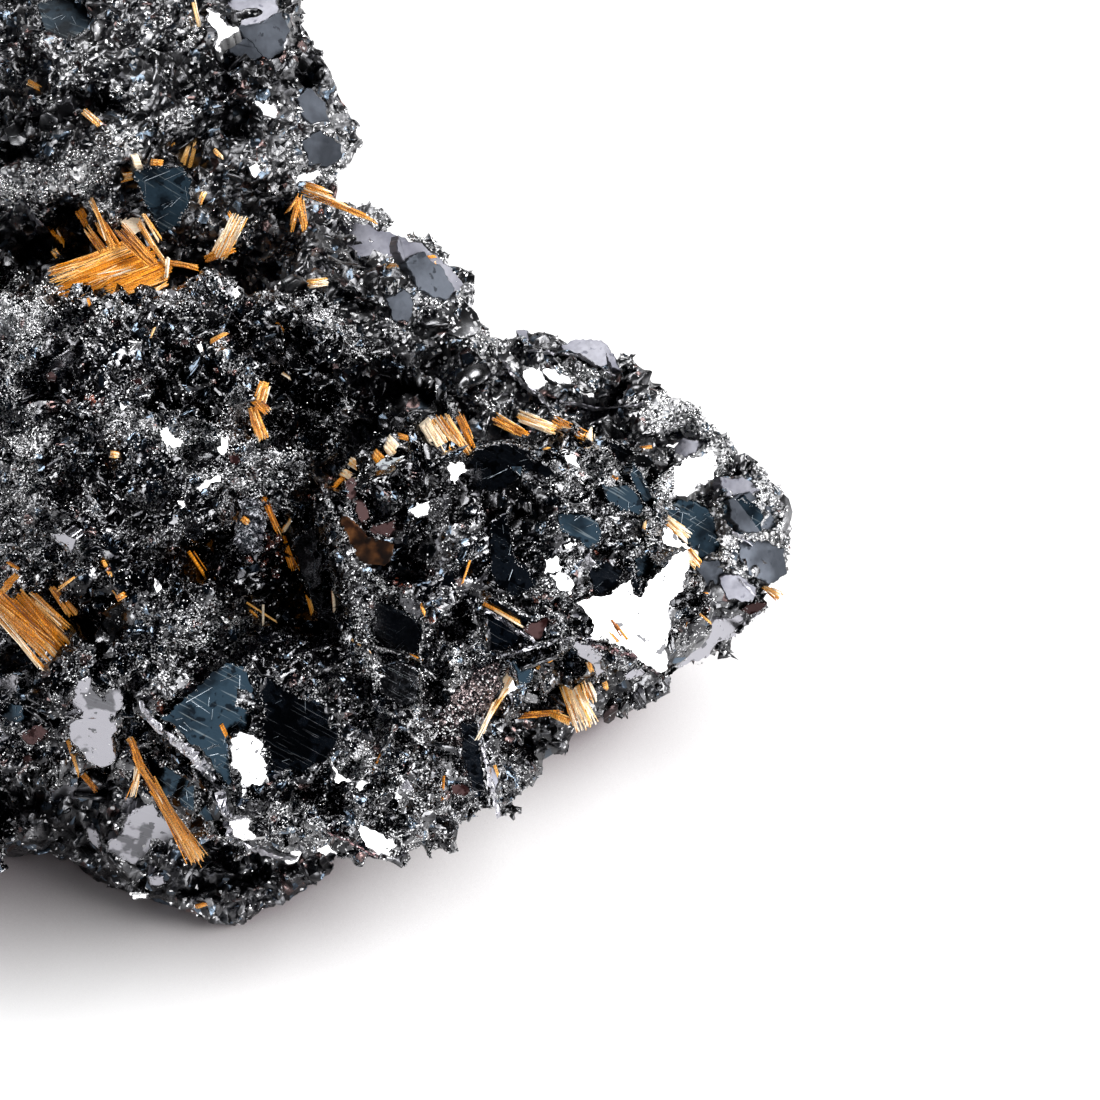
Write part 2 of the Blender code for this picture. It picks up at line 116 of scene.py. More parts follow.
# Flat faces: kind of face, what it mirrors if not what is usual for its kind, and its outline.
FACETS = named_rows(2, """
prow_white white front 622,585 631,580 634,594 641,596 647,580 661,575 666,566 675,552 687,550 689,571
    682,589 671,601 669,627 668,669 661,673 643,664 622,648 608,645 596,643 587,638 596,627 587,613 575,603
    584,599 610,594;
prow_white_6 white 652,574 659,560 655,545 657,528 668,521 680,538 693,550 688,566 676,575 664,580;
cheek_grey grey 76,680 90,678 97,695 104,701 107,686 120,683 125,707 114,717 118,731 113,737 114,761 101,768
    94,765 70,740 68,734 70,711 73,697;
chin_blue blue 232,661 221,666 209,677 195,691 170,710 161,717 175,728 198,748 215,768 229,785 235,777
    232,754 238,740 255,734 252,720 262,711 258,697 252,683 244,668;
chin_dark dark 254,674 275,680 300,697 322,705 335,716 340,735 330,760 300,775 275,770 266,745 262,728
    266,711 260,697;
chin_low_blue blue 147,754 170,765 184,774 198,782 209,799 214,822 204,822 192,811 175,799 164,795 152,782
    147,768;
chin_white_1 white front 231,739 241,734 252,736 260,741 264,745 261,755 269,764 267,781 258,787 252,785
    248,789 241,781 237,770 231,766 232,753;
chin_white_2 white 227,794 238,788 249,802 255,814 249,828 253,836 243,839 232,833 228,816;
rim_white_1 white 293,808 300,811 306,822 320,831 328,836 349,845 346,852 332,855 317,852 306,839 295,828;
rim_white_2 white 352,825 360,822 372,828 386,834 396,845 391,856 377,858 366,851 357,836;
rim_white_3 white 281,851 292,849 302,852 298,861 289,863 282,858;
chin_white_3 white 332,762 337,774 346,780 360,780 372,781 366,788 360,796 353,785 335,784;
foot_grey_1 grey 124,822 144,805 155,805 164,816 175,836 169,842 152,839 147,856 135,868 124,859 107,851
    110,842 121,836;
foot_grey_2 grey 47,779 70,779 77,784 96,788 93,796 77,791 63,798 58,805 51,800;
foot_grey_3 grey 86,828 96,830 100,844 98,847 89,840;
foot_grey_4 grey 124,798 133,798 131,809 126,819 121,812;
foot_grey_5 grey 149,877 163,877 168,884 159,888 150,886;
foot_white white 128,893 140,891 149,893 145,898 135,899;
left_grey grey floor_left 0,679 12,674 19,679 14,690 5,695 -8,693;
left_blue blue 2,706 12,701 23,706 22,718 10,722 0,716;
left_brown_1 mauve 23,735 47,718 51,725 42,737 33,746 26,744;
left_brown_2 mauve 21,756 30,753 33,760 23,765;
dome_pale grey floor_left 51,536 63,533 76,539 75,547 71,554 66,544 58,543;
dome_grey_1 dusk 183,519 193,516 203,526 203,539 193,543 185,534;
dome_grey_2 dusk 203,311 213,308 223,316 218,323 208,326;
dome_grey_3 grey floor_left 48,369 58,356 67,359 63,369 56,371;
dome_grey_4 dusk 247,445 256,448 250,454 245,451;
dome_pale_2 grey floor_right 269,356 280,354 288,360 284,366 272,364;
dome_pale_3 grey floor_right 243,353 250,351 255,356 250,361 244,359;
dome_white_1 white 160,435 167,427 173,435 183,440 181,446 167,446 161,440;
dome_white_2 white 216,450 223,436 230,437 226,450 230,453 221,454;
dome_white_3 white 198,488 208,478 218,473 221,481 211,488 200,492;
dome_white_4 white 195,344 202,343 203,351 199,353;
dome_white_5 white 119,402 123,399 127,407 122,411;
dome_white_6 white 178,502 185,499 187,506 180,510;
dome_white_7 white 231,288 239,285 242,295 236,301 230,294;
cheek_white_1 white 154,578 158,581 161,588 157,592 155,586;
cheek_white_2 white 222,617 232,620 240,616 241,626 230,627;
dome_mauve_1 mauve 46,374 52,371 57,375 55,382 48,380;
dome_mauve_2 mauve 228,455 239,454 242,462 236,466 230,463;
dome_mauve_3 mauve 181,340 189,338 189,346 180,346;
dome_mauve_4 mauve 132,379 142,377 142,384 135,386;
web_brown web 340,514 352,522 366,536 380,540 394,545 393,556 384,566 364,564 350,552 341,534;
web_mauve_1 mauve 344,482 352,478 360,486 364,502 372,518 366,526 356,516 350,500;
web_mauve_2 mauve 364,522 376,526 384,522 394,520 394,530 386,536 372,534;
heart_mauve mauve 522,632 531,623 544,615 555,617 548,630 542,641 535,643;
heart_dusk dusk 398,591 421,603 419,618 398,605;
saddle_black dark 376,600 396,606 420,620 420,656 396,652 372,640;
saddle_web dark room_right 378,664 400,660 420,672 418,704 398,706 380,692;
cleft_plate_1 dark 292,540 318,524 334,536 344,580 346,624 330,640 312,600 298,570;
cleft_plate_2 dark 226,502 256,496 266,520 262,552 240,556 226,530;
prow_dark dark 473,450 487,446 501,444 516,445 528,450 536,458 551,467 558,476 553,491 551,500 536,497
    520,493 495,491 468,491 467,463;
prow_gleam blue 508,449 520,448 524,462 520,476 512,470 507,458;
prow_column dark room_right 492,522 506,514 512,532 514,556 528,570 538,586 520,597 500,592 490,568;
prow_steel blue 604,486 626,484 638,494 646,508 640,516 622,510 608,500;
prow_spike dark 626,567 633,566 642,597 636,596;
prow_pit dark 590,570 606,560 624,568 618,586 602,594 590,588;
prow_white_5 white 549,576 560,572 573,584 572,596 560,592;
prow_blue blue 633,461 643,475 650,491 664,517 661,524 650,510 638,494 629,475;
prow_blue_2 blue 560,515 578,513 598,522 599,540 590,550 574,540 562,530;
prow_grey grey 584,558 590,552 596,564 590,572;
prow_blue_4 blue 636,560 648,555 659,566 660,576 648,579 636,578;
prow_white_2 white 560,452 567,447 577,457 580,467 570,465;
prow_white_3 white 562,545 570,540 578,544 566,551;
crest_white_1 white 407,510 417,502 430,499 432,502 425,517 417,520;
crest_white_2 white 449,462 462,461 467,470 460,477 456,487 450,475;
crest_pale pale 375,465 387,456 407,454 420,465 402,467 385,477;
under_grey grey 570,640 590,645 603,655 605,672 597,680 590,665 578,655;
under_blue blue 511,662 525,658 534,668 530,682 518,686;
under_white white 498,678 504,672 512,680 518,688 508,694 500,690;
under_lavender grey floor_right 624,675 635,664 646,671 648,675 628,680;
blade_slit mist 490,766 498,768 499,790 493,788;
nose_white white above 657,484 672,468 690,456 712,452 722,462 714,478 700,484 690,494 668,498 657,492;
nose_pale mist 666,446 684,438 702,442 696,452 680,458 668,464;
nose_dark blue 668,504 690,498 706,506 716,522 722,545 716,560 700,565 690,548 676,532 666,517;
nose_mist_1 haze 728,500 750,492 770,505 776,525 760,535 740,530 728,515;
nose_mist_2 haze 740,538 765,540 785,547 787,573 770,585 750,575 738,556;
nose_mist_3 mist 720,578 738,572 756,588 750,602 728,600;
nose_mist_4 mist 722,478 742,476 765,490 752,496 728,495;
summit_dusk_3 haze 236,28 262,22 282,12 291,30 284,52 268,60 250,44;
ridge_mist_2 haze 404,262 424,252 444,268 456,288 446,300 420,290;
ridge_mist_3 haze 388,300 404,290 416,304 408,322 392,320;
summit_mist_4 haze 296,96 312,88 326,102 330,122 312,124 300,112;
prow_black dark 596,445 612,441 632,448 638,462 628,470 608,472 598,462;
prow_white_4 white front 545,560 556,557 563,566 560,580 552,584 546,574;
slab_ash ash 434,722 452,694 470,674 498,662 500,688 484,718 476,742 456,750 440,742;
low_black dark 462,724 478,722 484,750 486,792 472,790 462,760;
low_grey grey 398,780 408,779 414,790 404,791;
low_mauve mauve 451,784 462,782 471,790 464,796 452,793;
wedge_black dark 490,598 504,602 530,618 522,630 518,642 500,652 488,650 485,620;
nose_dusk haze 689,571 703,561 720,561 727,573 717,585 699,589 690,585;
nose_blue blue 722,505 744,498 764,512 762,532 738,536 724,522;
ridge_mist_5 mist 398,234 424,246 446,264 462,284 452,300 430,292 410,272 396,252;
nose_under grey floor_right 671,643 685,641 703,629 722,620 741,610 769,608 750,624 717,645 708,659 689,666
    671,669;
nose_mauve mauve 741,610 750,603 766,603 764,610 750,617;
terrace_white_1 white 520,371 532,366 541,369 548,381 541,388 538,391 530,386 521,376;
terrace_white_2 white 544,371 555,369 569,376 569,381 558,384 548,381;
terrace_white_3 white 576,386 585,385 593,392 595,398 588,398 578,392;
terrace_white_4 white 561,386 574,385 576,392 569,393;
terrace_white_5 white 655,446 668,442 680,444 678,449 660,451;
terrace_grey_1 mist 561,346 580,339 600,340 615,352 622,372 610,378 596,366 575,358;
terrace_grey_2 mist 606,353 616,357 621,370 612,368;
terrace_grey_3 mist 516,330 528,330 530,344 521,342;
ridge_grey mist 322,240 332,228 347,222 372,226 400,236 421,248 408,256 404,276 396,263 372,258 366,268
    352,255 337,251;
summit_grey_1 mist 191,-14 274,-12 280,17 260,25 238,30 221,17 205,17 202,36 194,25;
summit_white_1 white 206,8 221,11 227,25 238,28 235,36 221,41 219,51 215,47 216,30 208,22;
summit_dusk haze 224,41 249,39 269,44 266,55 249,61 230,53;
summit_white_2 white 257,102 274,100 282,113 274,119 262,117;
summit_blue_1 haze 299,141 321,130 343,144 343,158 327,166 310,163;
summit_white_3 white 293,184 300,175 318,171 320,175 308,183;
summit_white_4 white 250,168 256,164 261,171 256,178 250,175;
summit_dusk_2 dusk 52,105 70,103 75,114 66,123 54,121;
summit_blue_2 blue 134,172 155,166 182,168 192,180 188,206 178,226 160,232 150,212 142,196;
summit_blue_3 blue 36,4 62,-6 90,4 92,30 66,42 42,34;
""")
# Flat ends of broad rutile laths: outline, and shade, which is partly painted highlight.
PALE_ENDS = {
    "steep_end": (0.97, ((119, 218), (134, 205), (144, 216), (146, 230), (134, 235), (123, 230))),
    "crest_end": (0.95, ((420, 427), (430, 419), (445, 437), (446, 456), (430, 445))),
    "corner_end": (0.93, ((687, 552), (699, 552), (699, 564), (690, 568))),
    "summit_end": (0.9, ((131, 156), (138, 154), (143, 168), (136, 172))),
}

# Raised edges seen as narrow bands: kind of face, what it mirrors, and its course as (x, y, half width).
EDGES = named_rows(3, """
saddle_fin grit left 322,486,4 336,524,6 348,549,7 355,578,8 355,603,7 359,628,6 365,647,5 371,670,5
    376,686,4;
saddle_branch grit above 366,572,3 390,591,4 407,588,3;
saddle_line grit above 371,647,2 395,652,2 421,659,2;
chin_ribbon ribbon floor 140,702,2.8 150,720,5.6 170,737,5.6 192,754,7 209,774,5.6 221,796,5.6 227,816,4.2
    232,839,7 249,848,5.6 278,858,4.2 296,860,2.8;
dome_rim_right grit above 242,266,2 262,278,3 281,292,3 298,310,3 318,324,2.5 336,333,2;
dome_rim_low grit above 336,333,2 352,346,3 368,362,2;
summit_column ribbon floor 27,203,5 38,225,6 50,243,6 60,258,4;
terrace_line grit above 525,344,2 521,374,2;
terrace_ledge_1 ribbon floor_right 502,360,2 516,378,3 541,397,3 551,411,2;
terrace_ledge_2 ribbon floor_right 528,351,2 578,355,2 615,376,2;
terrace_ledge_3 ribbon floor_right 560,402,2 600,409,2 645,404,2;
crest_rim grit above 537,442,1.5 555,430,2 571,430,2 590,442,3 607,462,3 617,477,2;
crest_post grit above 488,412,2.5 485,428,2 484,440,3;
prow_edge grit right 651,493,1.5 671,517,1.5;
prow_foot brown floor 592,645,2 610,650,3 633,657,3 644,667,3 662,675,2;
heart_rim_1 grit above 486,591,2 505,603,2.5 529,617,2;
heart_rim_2 ribbon above 500,655,2 520,651,2.5 545,643,2.5 576,636,2;
dome_streak_1 grit above 142,322,1.5 162,320,2.5;
dome_streak_2 grit above 167,317,1.5 203,318,1.5;
dome_slot_edge grit above 288,332,1.2 304,347,1.8 318,360,1.2;
saddle_strokes grit above 306,680,2 322,673,3 340,664,2;
saddle_strokes_2 grit above 325,688,1.5 340,682,2;
low_blade_1 ribbon right 478,735,2 487,765,3 493,790,3 499,818,3;
rim_mauve brown above 326,832,2 350,843,2 378,857,2;
nose_line_1 ribbon above 732,532,1 753,546,1.2;
nose_line_2 ribbon above 740,580,1 759,599,1.2;
foot_rim ribbon floor 78,870,3 92,892,4 112,903,3;
prow_ledge grit above 575,508,1.5 600,516,2 640,520,1.5;
wedge_strip ribbon floor 484,609,2.5 505,622,3 524,635,2.5 541,645,1.5;
lattice_1 grit above 383,709,1.5 402,722,2 412,735,1.5 426,748,1.5;
lattice_2 grit above 394,724,1.2 388,742,1.8 374,766,1.2;
lattice_3 grit above 404,776,1 413,760,1.5 424,762,1;
pillar_edge grit right 424,604,1.2 421,650,1.5 419,706,1.2;
wedge_edge grit above 484,618,1.2 489,650,1.2;
blade_edge grit right 477,728,1.2 482,760,1.6 489,798,1.2;
prow_top grit above 475,448,1.5 500,443,2 520,450,1.5 534,462,1.2;
heart_rim_3 ribbon above 574,637,1.5 592,638,1.5;
web_edge grit above 420,454,1.2 400,446,1.5 388,448,1.5;
""")

# Pits: middle, half length, half width, turn in degrees clockwise, and depth in millimetres. In them the
# skin's colour is also darkened, as painted shade.
PITS = rows(6, """
    88,604,30,22,100,3.2 130,692,13,9,80,2.4 100,783,20,12,10,2.6 312,580,62,22,78,2.6 212,545,16,36,80,1.6
    335,496,10,8,80,2 371,503,18,11,80,2.2 396,620,26,20,60,1.8 176,752,36,8,38,2.4 217,812,24,5,75,2
    506,632,24,9,25,2.4 566,657,20,11,10,2.2 530,736,28,24,0,1.6 298,392,32,16,10,2.4 292,344,44,13,42,2.4
    292,430,38,14,5,2.4 400,390,56,16,25,2.6 168,392,22,9,30,1.6 213,410,10,9,0,1.8 187,493,11,5,0,1.4
    46,258,44,22,-32,3.4 72,225,24,13,60,3 654,438,34,3,-6,1.8 600,410,24,3,18,1.4 95,100,26,12,10,2
    236,118,16,24,0,1.8 310,75,18,12,60,1.6 16,150,22,10,10,2 330,800,22,8,20,1.6 436,700,10,34,10,1.4
    460,620,9,30,12,1.6 352,302,20,8,50,1.8 240,880,60,8,-14,1.4 690,600,12,8,0,1.4 25,800,26,12,0,1.8
    620,710,14,9,0,1.6
""")

# Fields of the skin as the photograph shows them: middle, half sizes, turn in degrees clockwise, frost
# (bright grit, partly painted light), darkness (painted shade), and smoothness, each from 0 to 1.
FIELDS = rows(8, """
    20,188,55,20,-8,1,0,0 80,172,50,20,-15,1,0,0 112,148,30,20,-40,1,0,0 395,245,60,24,30,0.9,0,0.2
    440,290,40,24,45,0.9,0,0 320,160,40,40,0,0.6,0,0.2 490,345,50,16,30,0.7,0,0 100,195,14,36,-30,0.9,0,0
    125,135,20,14,-30,0.8,0,0 165,120,30,10,-20,0.6,0,0 130,95,30,20,0,0.4,0,0 30,92,10,25,-30,0.6,0,0
    60,60,50,30,0,0.3,0,0 150,30,50,25,0,0.35,0,0 290,160,40,25,0,0.35,0,0.3 320,130,30,25,0,0.35,0,0.4
    10,318,50,18,-15,1,0,0 50,292,50,14,-35,1,0,0 88,264,34,12,-35,0.9,0,0 60,330,60,12,-10,0.4,0,0
    150,300,60,12,0,0.35,0,0 10,420,25,80,0,0.3,0,0 10,480,30,60,0,0.35,0,0 172,437,18,16,0,0.7,0,0
    130,420,30,25,0,0.3,0,0 220,440,30,20,0,0.35,0,0 270,450,40,20,0,0.35,0,0 240,410,25,15,0,0.3,0,0
    210,475,30,12,0,0.4,0,0 70,540,25,10,25,0.5,0,0 20,560,25,20,0,0.3,0,0 190,630,60,20,-25,0.2,0,0
    170,665,40,20,-20,0.1,0,0 232,618,22,10,0,0.4,0,0 355,560,8,50,-5,0.8,0,0 366,640,8,50,-8,0.7,0,0
    330,680,25,12,-30,0.3,0,0 395,590,20,6,20,0.3,0,0 470,400,60,12,10,0.5,0,0 540,415,60,8,8,0.5,0,0
    620,430,40,8,-8,0.6,0,0 680,415,50,22,10,1,0,0 560,370,50,12,15,0.5,0,0 600,355,50,12,20,0.3,0,0
    690,470,55,28,-30,0.9,0,0 745,520,45,60,20,0.9,0,0 730,560,30,30,0,0.45,0,0 700,590,25,18,0,0.3,0,0
    590,480,35,25,0,0.4,0,0 600,520,40,20,0,0.35,0,0 570,510,20,30,0,0.3,0,0 555,580,25,15,40,0.5,0,0
    580,560,20,10,30,0.4,0,0 430,290,40,25,0,0.4,0,0 375,245,50,14,15,0.5,0,0.5 420,270,30,22,40,0.5,0,0.3
    330,205,40,15,30,0.3,0,0 400,320,25,25,0,0.3,0,0 240,235,16,20,30,0.5,0,0 210,280,50,10,10,0.3,0,0
    262,285,40,8,30,0.4,0,0 330,330,40,8,45,0.35,0,0 450,670,40,30,-45,0.35,0,0 430,720,30,25,-45,0.35,0,0
    480,650,25,15,0,0.3,0,0 470,600,25,20,-30,0.1,0,0 345,770,30,15,0,0.4,0,0 370,740,15,40,5,0.35,0,0
    160,720,25,8,35,0.5,0,0 200,765,25,8,45,0.5,0,0 150,830,40,25,30,0.25,0,0 120,860,40,12,20,0.2,0,0
    60,790,30,10,0,0.3,0,0 440,800,30,15,0,0.3,0,0 300,820,30,15,20,0.3,0,0 50,820,100,45,10,0,0.5,0
    210,880,120,24,-8,0,0.55,0 230,700,60,60,0,0,0.3,0 15,255,22,26,0,0,1,0 62,240,26,12,45,0,0.8,0
    20,130,30,16,0,0,0.6,0 90,105,28,12,10,0,0.7,0 240,60,40,25,0,0,0.4,0 232,120,18,26,0,0,0.7,0
    270,80,30,20,0,0,0.5,0 250,190,30,20,0,0,0.6,0 280,215,25,15,0,0,0.6,0 280,350,45,14,42,0,0.9,0
    340,390,40,25,20,0,0.85,0 300,400,40,20,10,0,0.85,0 400,390,60,18,20,0,0.9,0 400,420,40,12,0,0,0.6,0
    440,345,30,30,0,0,0.5,0 110,470,25,50,0,0,0.35,0 190,385,25,12,30,0,0.6,0 130,400,15,12,0,0,0.5,0
    250,340,30,14,40,0,0.5,0 290,430,40,14,5,0,0.8,0 170,520,60,30,0,0,0.35,0 230,560,40,30,0,0,0.7,0
    290,580,40,60,-15,0,0.9,0 320,620,20,50,-10,0,0.8,0 330,500,14,20,0,0,0.8,0 160,570,60,25,0,0,0.5,0
    90,605,28,36,0,0,1,0 55,700,45,30,0,0,0.6,0 20,650,30,30,0,0,0.7,0 30,780,50,30,0,0,0.6,0
    60,830,60,25,10,0,0.7,0 135,700,16,30,0,0,0.7,0 110,780,24,14,0,0,0.7,0 390,630,30,40,0,0,0.7,0.3
    420,560,40,45,0,0,0.8,0 440,500,34,28,0,0,0.7,0 500,470,40,30,0,0,0.8,0.9 520,520,40,30,0,0,0.6,0.5
    510,580,40,30,0,0,0.55,0.2 545,540,25,20,0,0,0.5,0.3 600,580,40,12,-10,0,0.8,0 510,630,35,16,25,0,0.9,0
    570,655,30,16,10,0,0.6,0 540,735,40,30,0,0,0.9,0 620,690,30,25,0,0,0.75,0 690,625,30,14,-20,0,0.5,0
    300,740,45,35,0,0,0.75,0.5 310,790,30,14,0,0,0.7,0 400,700,12,40,0,0,0.6,0.3 180,795,30,25,40,0,0.4,0
    220,880,90,18,-10,0,0.8,0 120,890,60,20,10,0,0.3,0 660,435,40,4,-6,0,1,0 600,402,40,5,15,0,0.9,0
    700,520,25,20,0,0,0.6,0.7
""")

# The shade holds painted highlight and shade as well as the rutile's own tone.
# Rutile sprays: root and tip of the imported solid, the way it looks, and its bundles of laths in the
# photograph as (root x, root y, tip x, tip y, width at the root, width at the tip, laths, shade), where the
# shade goes from 0 for brown to 1 for cream.
# A spray that the photograph doesn't show has its width in millimetres and its number of laths instead.
LOOKS_AT_VIEW = (0, -0.64, 0.77)
SPRAYS = {
    "rutile_summit_fan": ((-1.32, 5.27, 27.9), (-7.52, 0.27, 32.8), LOOKS_AT_VIEW, (
        (150, 258, 60, 292, 20, 26, 8, 0.15),
        (128, 243, 50, 273, 5, 8, 5, 0.55),
        (130, 249, 52, 280, 5, 7, 5, 0.7),
        (130, 258, 66, 285, 6, 9, 5, 0.45),
        (134, 264, 86, 284, 9, 14, 8, 0.5),
        (132, 272, 88, 292, 8, 10, 6, 0.55),
        (152, 262, 96, 280, 4, 6, 4, 0.8),
    )),
    "rutile_summit_low": ((-0.02, 1.57, 28.7), (-4.92, -2.33, 31.3), LOOKS_AT_VIEW, (
        (167, 266, 106, 292, 12, 18, 8, 0.25),
        (166, 276, 106, 298, 8, 12, 8, 0.5),
        (150, 288, 100, 301, 4, 6, 4, 0.6),
        (166, 262, 118, 282, 5, 8, 5, 0.5),
        (168, 284, 130, 300, 3, 5, 3, 0.75),
    )),
    "rutile_summit_slim": ((-6.72, 6.27, 32.7), (-4.42, 2.57, 32.8), LOOKS_AT_VIEW, (
        (114, 248, 92, 200, 5, 4, 4, 0.55),
        (102, 250, 87, 229, 8, 8, 4, 0.5),
        (113, 248, 98, 223, 7, 7, 4, 0.45),
        (120, 246, 104, 222, 3, 3, 2, 0.3),
    )),
    "rutile_summit_steep": ((-3.92, 5.37, 33.2), (-1.12, 1.97, 30.3), LOOKS_AT_VIEW, (
        (121, 230, 166, 278, 15, 10, 9, 0.42),
        (138, 222, 168, 268, 6, 5, 4, 0.6),
        (124, 240, 158, 272, 5, 5, 4, 0.3),
        (168, 258, 166, 278, 3, 3, 2, 0.97),
        (166, 262, 198, 267, 6, 3, 4, 0.35),
        (144, 214, 160, 240, 4, 4, 2, 0.8),
    )),
    "rutile_left_fan": ((-10.32, -18.23, 27.8), (-5.72, -23.03, 24.2), LOOKS_AT_VIEW, (
        (-8, 610, 57, 682, 9, 2.5, 4, 0.8),
        (-6, 602, 54, 667, 8, 5, 4, 0.6),
        (4, 606, 69, 667, 9, 6, 5, 0.7),
        (-6, 596, 64, 656, 14, 10, 6, 0.3),
        (18, 596, 66, 646, 14, 12, 6, 0.25),
        (32, 595, 73, 634, 9, 9, 5, 0.55),
        (52, 588, 74, 616, 6, 13, 6, 0.4),
        (-10, 588, 30, 622, 12, 10, 4, 0.45),
        (14, 612, 60, 658, 3, 2, 2, 0.85),
    )),
    "rutile_cleft_spray": ((5.68, -10.43, 32.4), (6.08, -13.03, 30.6), LOOKS_AT_VIEW, (
        (264, 382, 256, 403, 9, 10, 5, 0.5),
        (254, 400, 269, 413, 8, 9, 5, 0.4),
        (252, 408, 263, 440, 9, 13, 6, 0.5),
        (268, 386, 262, 405, 4, 6, 3, 0.65),
        (256, 420, 267, 436, 4, 5, 3, 0.75),
    )),
    "rutile_fork_long": ((6.88, 10.87, 29), (10.88, 9.17, 27.6), LOOKS_AT_VIEW, (
        (306, 190, 376, 222, 11, 3, 7, 0.55),
        (305, 186, 332, 196, 9, 9, 5, 0.65),
        (322, 196, 350, 208, 5, 4, 3, 0.9),
    )),
    "rutile_fork_short": ((5.88, 9.17, 29.6), (6.18, 6.57, 26.6), LOOKS_AT_VIEW, (
        (299, 196, 291, 232, 6, 5, 5, 0.5),
        (300, 200, 309, 250, 6, 6, 5, 0.45),
        (296, 200, 286, 214, 3, 3, 2, 0.3),
    )),
    "rutile_pale_bundle": ((3.08, 7.17, 30), (1.48, 4.57, 28.4), LOOKS_AT_VIEW, (
        (206, 259, 234, 248, 8, 10, 5, 0.5),
        (220, 257, 240, 216, 14, 18, 9, 0.93),
        (214, 254, 226, 232, 6, 8, 4, 0.85),
    )),
    "rutile_crest_1": ((13.28, -8.63, 27.4), (12.08, -10.83, 26.8), LOOKS_AT_VIEW, (
        (361, 468, 349, 461, 8, 8, 3, 0.88),
        (357, 481, 342, 472, 8, 9, 3, 0.9),
        (343, 478, 331, 489, 4, 4, 3, 0.4),
        (352, 488, 344, 482, 3, 3, 2, 0.6),
    )),
    "rutile_crest_2": ((16.48, -8.23, 27.6), (14.88, -10.83, 27.9), LOOKS_AT_VIEW, (
        (379, 463, 372, 456, 5, 5, 2, 0.6),
        (385, 459, 377, 450, 5, 5, 2, 0.85),
        (391, 456, 383, 446, 6, 6, 2, 0.92),
        (396, 448, 388, 438, 6, 7, 2, 0.9),
        (415, 441, 398, 436, 6, 7, 4, 0.6),
        (436, 475, 424, 453, 3, 4, 2, 0.9),
    )),
    "rutile_crest_3": ((19.38, -7.73, 27.7), (18.28, -10.63, 28.2), LOOKS_AT_VIEW, (
        (448, 456, 426, 424, 16, 14, 5, 0.93),
        (467, 454, 440, 416, 15, 18, 9, 0.6),
        (459, 456, 450, 444, 5, 5, 3, 0.85),
        (474, 446, 458, 416, 6, 8, 4, 0.4),
    )),
    "rutile_crest_4": ((25.28, -7.83, 27.6), (21.48, -8.23, 28.3), LOOKS_AT_VIEW, (
        (522, 433, 494, 417, 9, 13, 6, 0.5),
        (554, 430, 518, 415, 11, 13, 4, 0.9),
        (584, 438, 552, 421, 13, 15, 7, 0.6),
        (590, 442, 590, 429, 9, 9, 2, 0.92),
        (528, 434, 500, 424, 4, 5, 3, 0.35),
    )),
    "rutile_corner_bundle": ((29.08, -13.03, 23.2), (31.88, -14.03, 21.6), (0.3, -0.64, 0.7), (
        (666, 520, 689, 538, 10, 12, 5, 0.92),
        (686, 551, 699, 566, 11, 11, 4, 0.88),
        (685, 594, 709, 595, 4, 4, 3, 0.5),
        (690, 610, 684, 628, 5, 5, 3, 0.5),
        (702, 594, 707, 612, 4, 3, 2, 0.5),
        (670, 638, 679, 638, 4, 4, 2, 0.6),
        (676, 588, 672, 604, 6, 6, 3, 0.75),
    )),
    "rutile_under_prow": ((23.58, -21.33, 17.8), (25.48, -24.43, 17.6), (0.1, -0.8, 0.55), (
        (566, 678, 588, 729, 17, 26, 12, 0.85),
        (560, 672, 577, 702, 3, 4, 2, 0.93),
        (569, 672, 581, 696, 3, 4, 2, 0.93),
        (585, 678, 594, 702, 8, 11, 4, 0.8),
        (552, 714, 572, 723, 6, 8, 3, 0.6),
        (578, 690, 590, 726, 6, 8, 3, 0.95),
    )),
    "rutile_pale_needles": ((20.48, -21.83, 19.4), (18.88, -26.03, 18.2), LOOKS_AT_VIEW, (
        (504, 686, 477, 741, 9, 2, 5, 0.95),
        (511, 675, 500, 692, 8, 10, 4, 0.93),
        (508, 690, 489, 715, 3, 2, 2, 0.7),
    )),
    "rutile_foot_bundle": ((-1.32, -27.43, 17), (1.98, -29.43, 10.2), LOOKS_AT_VIEW, (
        (137, 760, 199, 862, 8, 16, 10, 0.42),
        (130, 738, 143, 770, 6, 8, 5, 0.3),
        (141, 760, 132, 795, 5, 8, 4, 0.85),
        (184, 836, 199, 862, 13, 16, 7, 0.65),
        (150, 784, 190, 852, 3, 4, 3, 0.75),
    )),
    "rutile_nose_spray": ((35.48, -10.03, 15.4), (37.38, -11.83, 15.7), (0.3, -0.64, 0.7), (
        (765, 588, 781, 597, 5, 8, 5, 0.75),
        (768, 592, 778, 600, 2, 3, 2, 0.5),
    )),
    "rutile_left_spray": ((-30.72, -11.03, 27), (-35.32, -13.43, 29), (-0.4, -0.5, 0.76), (4.0, 60)),
    "rutile_back_fan": ((-5.72, 27.57, 30.4), (-0.22, 30.97, 29), (0.3, 0.7, 0.6), (4.0, 60)),
    "rutile_back_bundle": ((-26.72, 23.57, 27), (-31.72, 27.57, 27), (-0.3, 0.7, 0.6), (3.2, 46)),
}
